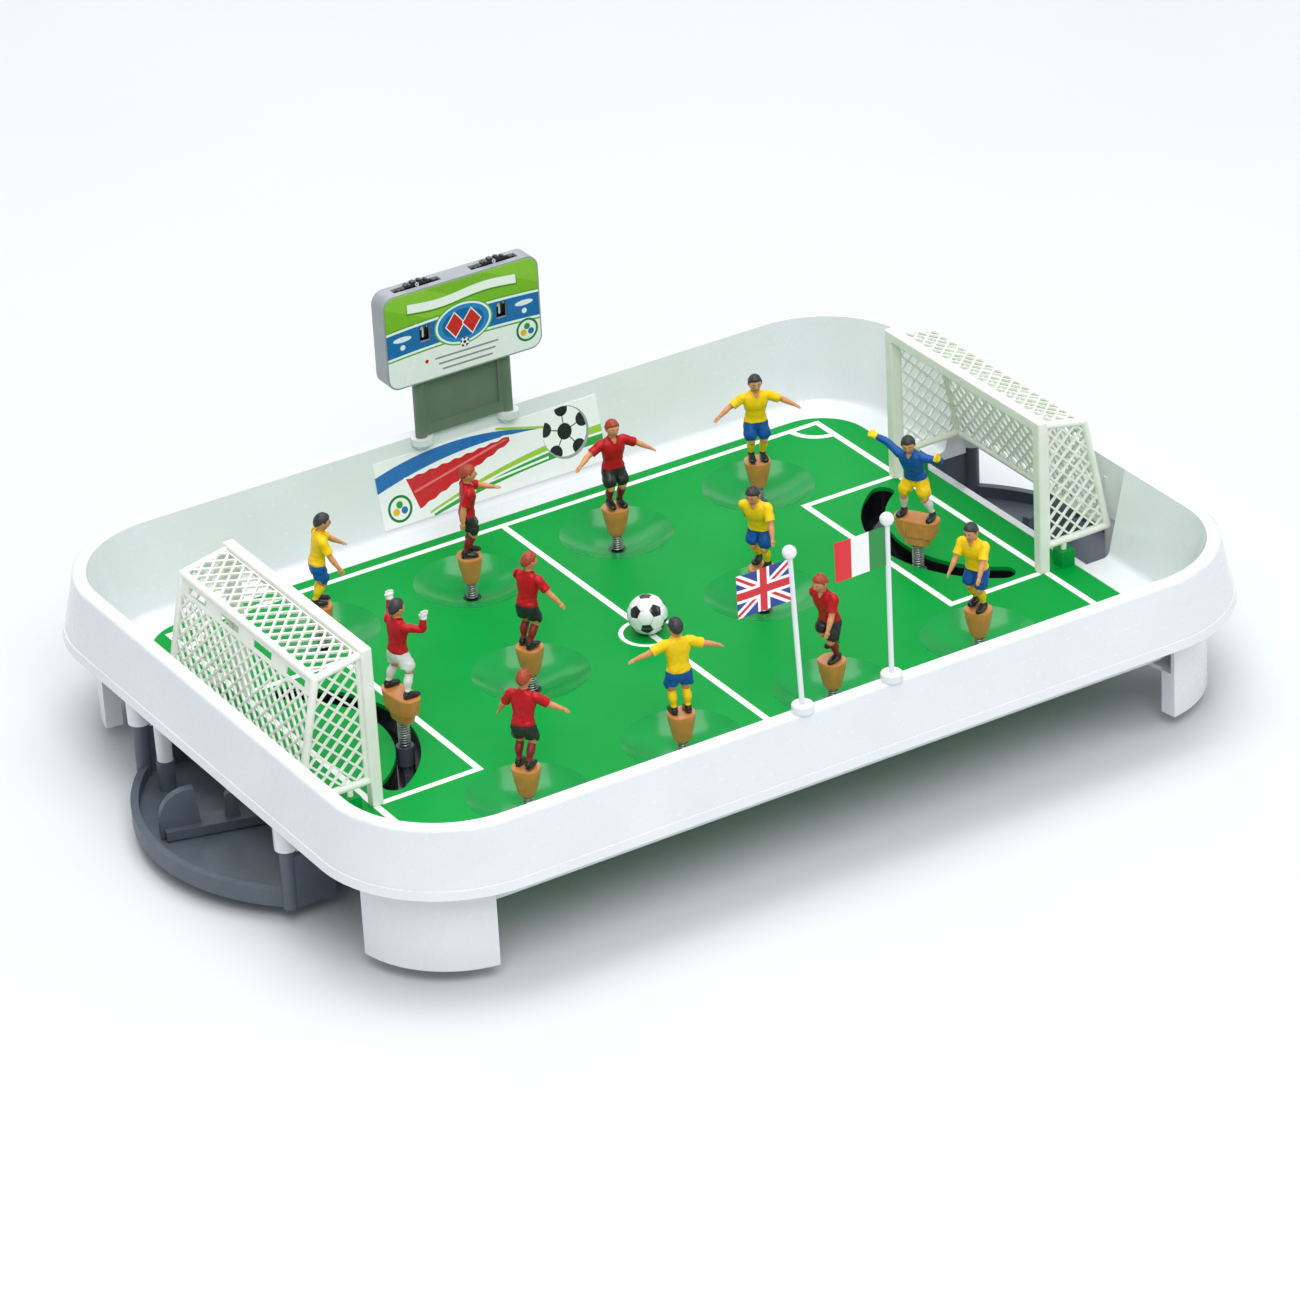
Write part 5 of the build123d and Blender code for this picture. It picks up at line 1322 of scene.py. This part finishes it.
# ---------------------------------------------------------------- ball, flags, wheels
@dataclass(frozen=True)
class Ball:
    """White ball with twelve black patches and seams between the white ones. Sizes are in mm, the tilt in degrees."""

    rows: int = 120
    columns: int = 180
    tilt: float = 24.0
    seam_half: float = 0.16
    seam_depth: float = 0.08
    edge_depth: float = 0.1
    edge_width: float = 0.22

    def build(self) -> bpy.types.Object:
        """Make the sphere and tag its patches.

        Patch: least distance inside the five planes round each of twelve points, times the radius.

        Returns:
            The object.
        """
        low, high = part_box("ball")
        centre, radius = np.array((low + high) / 2) / MM, (high.x - low.x) / 2 / MM
        unit, _, _ = globe(self.rows, self.columns, 1e-3)
        gold = (1 + math.sqrt(5)) / 2
        hubs = []
        for a in (-1, 1):
            for b in (-gold, gold):
                hubs += [(0, a, b), (a, b, 0), (b, 0, a)]
        hubs = np.array(hubs, float) / math.hypot(1, gold)
        a = math.radians(self.tilt)
        tip = np.array([[1, 0, 0], [0, math.cos(a), -math.sin(a)], [0, math.sin(a), math.cos(a)]])
        hubs = hubs @ tip.T
        patch = np.full(unit.shape[:2], -9.0)
        seam = np.full(unit.shape[:2], -9.0)
        for hub in hubs:
            near = [h for h in hubs if 0.3 < h @ hub < 0.6]
            first = near[0] - hub * (near[0] @ hub)
            second = np.cross(hub, first)
            near.sort(key=lambda h: math.atan2(h @ second, h @ first))
            inside = np.full(unit.shape[:2], 9.0)
            for i, this in enumerate(near):
                other = near[(i + 1) % 5]
                normal = np.cross(2 * hub + this, 2 * hub + other)
                normal *= np.sign(normal @ hub) / np.linalg.norm(normal)
                inside = np.minimum(inside, (unit @ normal) * radius)
                side = np.cross(hub, this)
                side /= np.linalg.norm(side)
                off = np.abs(unit @ side) * radius
                between = (unit @ (hub + this)) / np.linalg.norm(hub + this)
                seam = np.maximum(seam, np.where(between > 0.93, self.seam_half - off, -9))
            patch = np.maximum(patch, inside)
        tags = {"patch": patch, "seam": seam}
        groove = -self.edge_depth * np.exp(-(np.abs(patch) / self.edge_width) ** 2) - self.seam_depth * (seam > 0)
        grid = unit * (radius + groove)[..., None] + centre
        # bright hollow plastic with a clear varnish over its print
        art = BallArt(Plastic("plastic_ball_white", "F3F4F4", "E9EBEC", 0.2, 0.08, 0.8, 0.004, 8, 0.3), soft=0.1)
        made = make_piece("ball_printed", [Skin(grid, tags=tags)], [art.draw()], sharp=80)
        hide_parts("ball")
        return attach(made, "ball")


@dataclass(frozen=True)
class Flag:
    """A printed flag that ripples slightly from its pole."""

    side: str
    art: type[Art]
    ground: tuple[str, str]
    ripple: float = 0.55
    thick: float = 0.12

    def build(self) -> bpy.types.Object:
        """Make a thin rippled sheet: sideways offset = ripple sin(2 pi u 0.9) u.

        Returns:
            The object.
        """
        node = "flag_" + self.side
        low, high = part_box(node)
        x0, x1 = low.x / MM, high.x / MM
        z0, z1 = low.z / MM, high.z / MM
        y = (low.y + high.y) / 2 / MM
        u = np.linspace(0, 1, 40)[:, None]
        tall = np.linspace(0, 1, 24)[None, :]
        across = x1 + (x0 - x1) * u + 0 * tall
        bow = self.ripple * np.sin(2 * np.pi * 0.9 * u + 0.8 * tall) * u
        front = np.stack([across, y + bow - self.thick / 2, z0 + (z1 - z0) * tall + 0 * u], -1)
        back = front + (0, self.thick, 0)
        loop = np.concatenate([front, back[:, ::-1]], axis=1)
        # film-coated paper: flat clear colours under a light satin sheen
        base = Plastic("paper_flag_" + self.side, *self.ground, 0.35, 0.1, 0.5, 0.004, 9)
        printed = self.art(base, tuple((low + high) / 2)).draw()
        made = make_piece("flag_sheet_" + self.side, [Skin(loop)], [printed], sharp=60)
        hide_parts(node)
        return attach(made, "table")


@dataclass(frozen=True)
class Digits:
    """Ten raised numbers round a score wheel, drawn from strokes one unit wide and two tall. Sizes are in mm."""

    STROKES = {
        0: [[(0, 1), (0.15, 0.2), (0.5, 0), (0.85, 0.2), (1, 1), (0.85, 1.8), (0.5, 2), (0.15, 1.8), (0, 1)]],
        1: [[(0.15, 1.55), (0.55, 2), (0.55, 0)]],
        2: [[(0.05, 1.55), (0.25, 1.95), (0.75, 1.95), (0.95, 1.5), (0.75, 1.0), (0.0, 0.0), (1.0, 0.0)]],
        3: [[(0.05, 1.95), (0.9, 1.95), (0.45, 1.2), (0.9, 0.9), (0.9, 0.3), (0.5, 0), (0.05, 0.2)]],
        4: [[(0.75, 0), (0.75, 2), (0.0, 0.6), (1.0, 0.6)]],
        5: [[(0.9, 2), (0.15, 2), (0.1, 1.1), (0.65, 1.2), (0.95, 0.7), (0.7, 0.1), (0.1, 0.1)]],
        6: [[(0.85, 1.9), (0.3, 1.5), (0.05, 0.7), (0.3, 0.05), (0.75, 0.1), (0.95, 0.6), (0.6, 1.1), (0.1, 0.8)]],
        7: [[(0.0, 2), (1.0, 2), (0.4, 0)]],
        8: [[(0.5, 1.05), (0.1, 1.5), (0.5, 2), (0.9, 1.5), (0.5, 1.05), (0.05, 0.5), (0.5, 0), (0.95, 0.5),
             (0.5, 1.05)]],
        9: [[(0.15, 0.1), (0.7, 0.5), (0.95, 1.3), (0.7, 1.95), (0.25, 1.9), (0.05, 1.4), (0.4, 0.9), (0.9, 1.2)]],
    }
    wide: float = 3.0
    half_tall: float = 2.9
    window_radius: float = 8.6
    edge_radius: float = 17.2
    edge_scale: float = 0.55
    face: float = 2.0

    def build(self, side: str) -> bpy.types.Object:
        """Put 0..9 on the wheel's raised face with 1 at the window, and small ones by its edge.

        Args:
            side: left or right.
        Returns:
            The object riding on the wheel.
        """
        low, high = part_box("score_wheel_" + side)
        x, z = (low.x + high.x) / 2 / MM, (low.z + high.z) / 2 / MM
        y = low.y / MM - self.face
        turn = np.linspace(0, 2 * np.pi, 96, endpoint=False)[:, None]
        section = np.array([(4.2, self.face), (4.2, 0.15), (4.4, 0), (13.2, 0), (13.5, 0.3), (13.5, self.face)])
        ring = np.stack([x + np.cos(turn) * section[:, 0], y + section[:, 1] + 0 * turn,
                         z + np.sin(turn) * section[:, 0]], -1)
        skins = [Skin(ring, 1, False, False, True)]
        for number, strokes in self.STROKES.items():
            for radius, scale, back in ((self.window_radius, 1.0, 0.0), (self.edge_radius, self.edge_scale, self.face)):
                a = math.radians(-90 + 36 * (number - 1))
                out = np.array([math.cos(a), math.sin(a)])
                over = np.array([-out[1], out[0]])
                for stroke in strokes:
                    spots = np.array(stroke) - (0.5, 1.0)
                    flat = out * radius + over * (spots[:, :1] * self.wide * scale)
                    flat = flat - out * (spots[:, 1:] * self.half_tall * scale)
                    rows = [(x + p[0], y + back - 0.06, z + p[1], 0.1, 0.5 * scale) for p in flat]
                    skins.append(Skin(sweep(rows, 5 * len(rows), 6, 3.0, (0, 1, 0))))
        # hot-stamped white on gloss black, nearly matt
        white = Plastic("paint_digit_white", "EEF0F0", "E2E4E4", 0.4, 0.08)
        made = make_piece("score_digits_" + side, skins, [white.material(), Finish.ABS_BLACK.material()])
        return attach(made, "score_wheel_" + side)


# ---------------------------------------------------------------- CAD nodes, studio, main
class Casework:
    """Finishes for the moulded parts that keep their solid-model shape."""

    # the start of a node's name, and its finish; the first that fits counts, and the rest are glossy white
    MOULDED = (
        ("spring_seats", Finish.ABS_BLACK),
        ("slot_liner", Finish.ABS_BLACK),
        ("keeper_lever", Finish.ABS_SLATE),
        ("end_tray", Finish.ABS_SLATE),
        ("goal", Finish.POLYPROPYLENE),
        ("screws", Finish.ZINC_SCREW),
        ("scoreboard_stand", Finish.ABS_SAGE),
        ("scoreboard", Finish.ABS_GREY),
        ("score_wheel", Finish.ABS_BLACK),
    )

    def green(self, dish: bool) -> bpy.types.Material:
        """Green sheet with its lines; the dishes are glossier and a shade paler, the paler green being painted sheen.

        Args:
            dish: True for the dishes.
        Returns:
            The material.
        """
        # polystyrene: clean green, dull between the lines and shiny in the pressed dishes; the dishes' paler green is
        # painted sheen
        if dish:
            # paler green painted in as sheen; the lower roughness and thin coat are the real gloss
            dish_green_painted_sheen = Plastic("styrene_dish_green_painted_sheen", "149C48", "0E9240", 0.18, 0.08, 1.4, 0.002, 30, 0.1, gloss=0.3)
            return dish_green_painted_sheen.material()
        base = Plastic("styrene_pitch_green", "03993F", "029138", 0.36, 0.1, 1.4, 0.002, 60, gloss=0.07)
        return PitchArt(base, soft=0.25).draw()

    def card(self, node: str) -> bpy.types.Material:
        """Printed card, drawn from its own middle.

        Args:
            node: scoreboard_card or back_banner.
        Returns:
            The material.
        """
        low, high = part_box(node)
        # printed card under clear film: white ground, crisp inks, smooth shine
        base = Plastic("card_laminated_" + node, "F6F7F7", "F1F2F3", 0.22, 0.08, 0.7, 0.003, 25, 0.2)
        art = ScoreArt if node == "scoreboard_card" else BannerArt
        return art(base, tuple((low + high) / 2)).draw()

    def dress(self) -> None:
        """Put a material on every CAD node."""
        greens = {"pitch": self.green(False), "pitch_dishes": self.green(True)}
        for node, item in frame["nodes"].items():
            chosen = greens.get(node) or self.pick(node)
            mesh = item.data
            if not mesh.materials:
                mesh.materials.append(chosen)
            for i in range(len(mesh.materials)):
                mesh.materials[i] = chosen
            LOG.info("%s: %s", node, chosen.name)

    def pick(self, node: str) -> bpy.types.Material:
        """Choose a node's material.

        Args:
            node: its name.
        Returns:
            The material.
        """
        if node in ("scoreboard_card", "back_banner"):
            return self.card(node)
        for start, finish in self.MOULDED:
            if node.startswith(start):
                return finish.material()
        return Finish.ABS_WHITE.material()


@dataclass(frozen=True)
class Lamp:
    """A softbox: where it stands, how big it is and how strong."""

    name: str
    spot: Triple
    size: tuple[float, float]
    watts: float

    def build(self, target: Vector) -> None:
        """Aim the lamp.

        Args:
            target: what it points at.
        """
        data = bpy.data.lights.new(self.name, "AREA")
        data.shape = "RECTANGLE"
        data.size, data.size_y = self.size
        data.energy = self.watts
        lamp = bpy.data.objects.new(self.name, data)
        lamp.location = self.spot
        lamp.rotation_mode = "QUATERNION"
        lamp.rotation_quaternion = (target - Vector(self.spot)).to_track_quat("-Z", "Y")
        bpy.context.scene.collection.objects.link(lamp)
        lamp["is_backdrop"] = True


@dataclass(frozen=True)
class Studio:
    """Pale floor, soft lamps, even surroundings and the camera. Angles are in degrees, the spot in metres."""

    LAMPS = (
        Lamp("lamp_key", (-0.7, -1.5, 1.95), (1.5, 1.2), 29.0),
        Lamp("lamp_top", (0.1, 0.2, 2.3), (1.8, 1.3), 31.0),
        Lamp("lamp_fill", (1.7, -1.0, 1.2), (1.4, 1.0), 6.0),
        Lamp("lamp_back", (0.5, 1.6, 1.2), (1.8, 0.9), 6.0),
    )
    azimuth: float = -30.43
    elevation: float = 28.85
    roll: float = -3.12
    spot: Triple = (-1.30646, -2.22479, 1.44503)
    lens: float = 161.39
    film: float = 36.0
    sky: str = "EEF2F6"
    glow: float = 0.55

    def floor(self) -> None:
        """A wide floor that curves up far behind."""
        rows = [(-6, 0), (-3, 0), (1.6, 0), (2.4, 0.12), (2.9, 0.6), (3.1, 1.4), (3.1, 4)]
        line = smooth_rows(np.array(rows, float), 60)
        side = np.linspace(-6, 6, 12)
        grid = np.stack([np.broadcast_to(side[None, :], (60, 12)), np.broadcast_to(line[:, :1], (60, 12)),
                         np.broadcast_to(line[:, 1:], (60, 12))], -1) / MM
        # matt paper roll, even and shadowless at its far bend
        paper = Plastic("paper_backdrop_white", "DFE2E4", "DCDFE1", 0.7, 0.05, 3, 0.002, 300)
        made = make_piece("studio_floor", [Skin(grid, caps=False, wrap=False)], [paper.material()])
        made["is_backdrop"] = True

    def camera(self) -> None:
        """Place the camera: back = (sin az cos el, -cos az cos el, sin el), rolled about the view."""
        a, e, r = (math.radians(v) for v in (self.azimuth, self.elevation, self.roll))
        back = Vector((math.sin(a) * math.cos(e), -math.cos(a) * math.cos(e), math.sin(e)))
        right = (-back).cross(Vector((0, 0, 1))).normalized()
        up = right.cross(-back)
        level, upright = right * math.cos(r) + up * math.sin(r), up * math.cos(r) - right * math.sin(r)
        data = bpy.data.cameras.new("camera")
        data.lens, data.sensor_width = self.lens, self.film
        data.clip_start, data.clip_end = 0.1, 30.0
        made = bpy.data.objects.new("camera", data)
        made.matrix_world = Matrix((
            (level.x, upright.x, back.x, self.spot[0]),
            (level.y, upright.y, back.y, self.spot[1]),
            (level.z, upright.z, back.z, self.spot[2]),
            (0, 0, 0, 1),
        ))
        bpy.context.scene.collection.objects.link(made)
        bpy.context.scene.camera = made

    def surroundings(self) -> None:
        """Even pale light from all round."""
        world = bpy.data.worlds.new("studio")
        world.use_nodes = True
        light = world.node_tree.nodes["Background"].inputs
        light["Color"].default_value = to_linear(self.sky)
        light["Strength"].default_value = self.glow
        bpy.context.scene.world = world

    def build(self, target: Vector) -> None:
        """Set the studio up.

        Args:
            target: the point that the lamps look at.
        """
        self.floor()
        for lamp in self.LAMPS:
            lamp.build(target)
        self.camera()
        self.surroundings()
        bpy.context.scene.view_settings.view_transform = "Standard"


def main() -> None:
    """Dress the solid model, add the modelled pieces and light them."""
    logging.basicConfig(level=logging.INFO, format="%(name)s %(message)s")
    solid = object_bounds()
    Casework().dress()
    Team().build()
    Ball().build()
    Flag("left", CrossFlagArt, ("1F3F94", "1B3886")).build()
    Flag("right", BarFlagArt, ("F5F5F3", "EEEEEA")).build()
    for side in ("left", "right"):
        Digits().build(side)
    Studio().build((solid[0] + solid[1]) / 2)


if __name__ == "__main__":
    main()
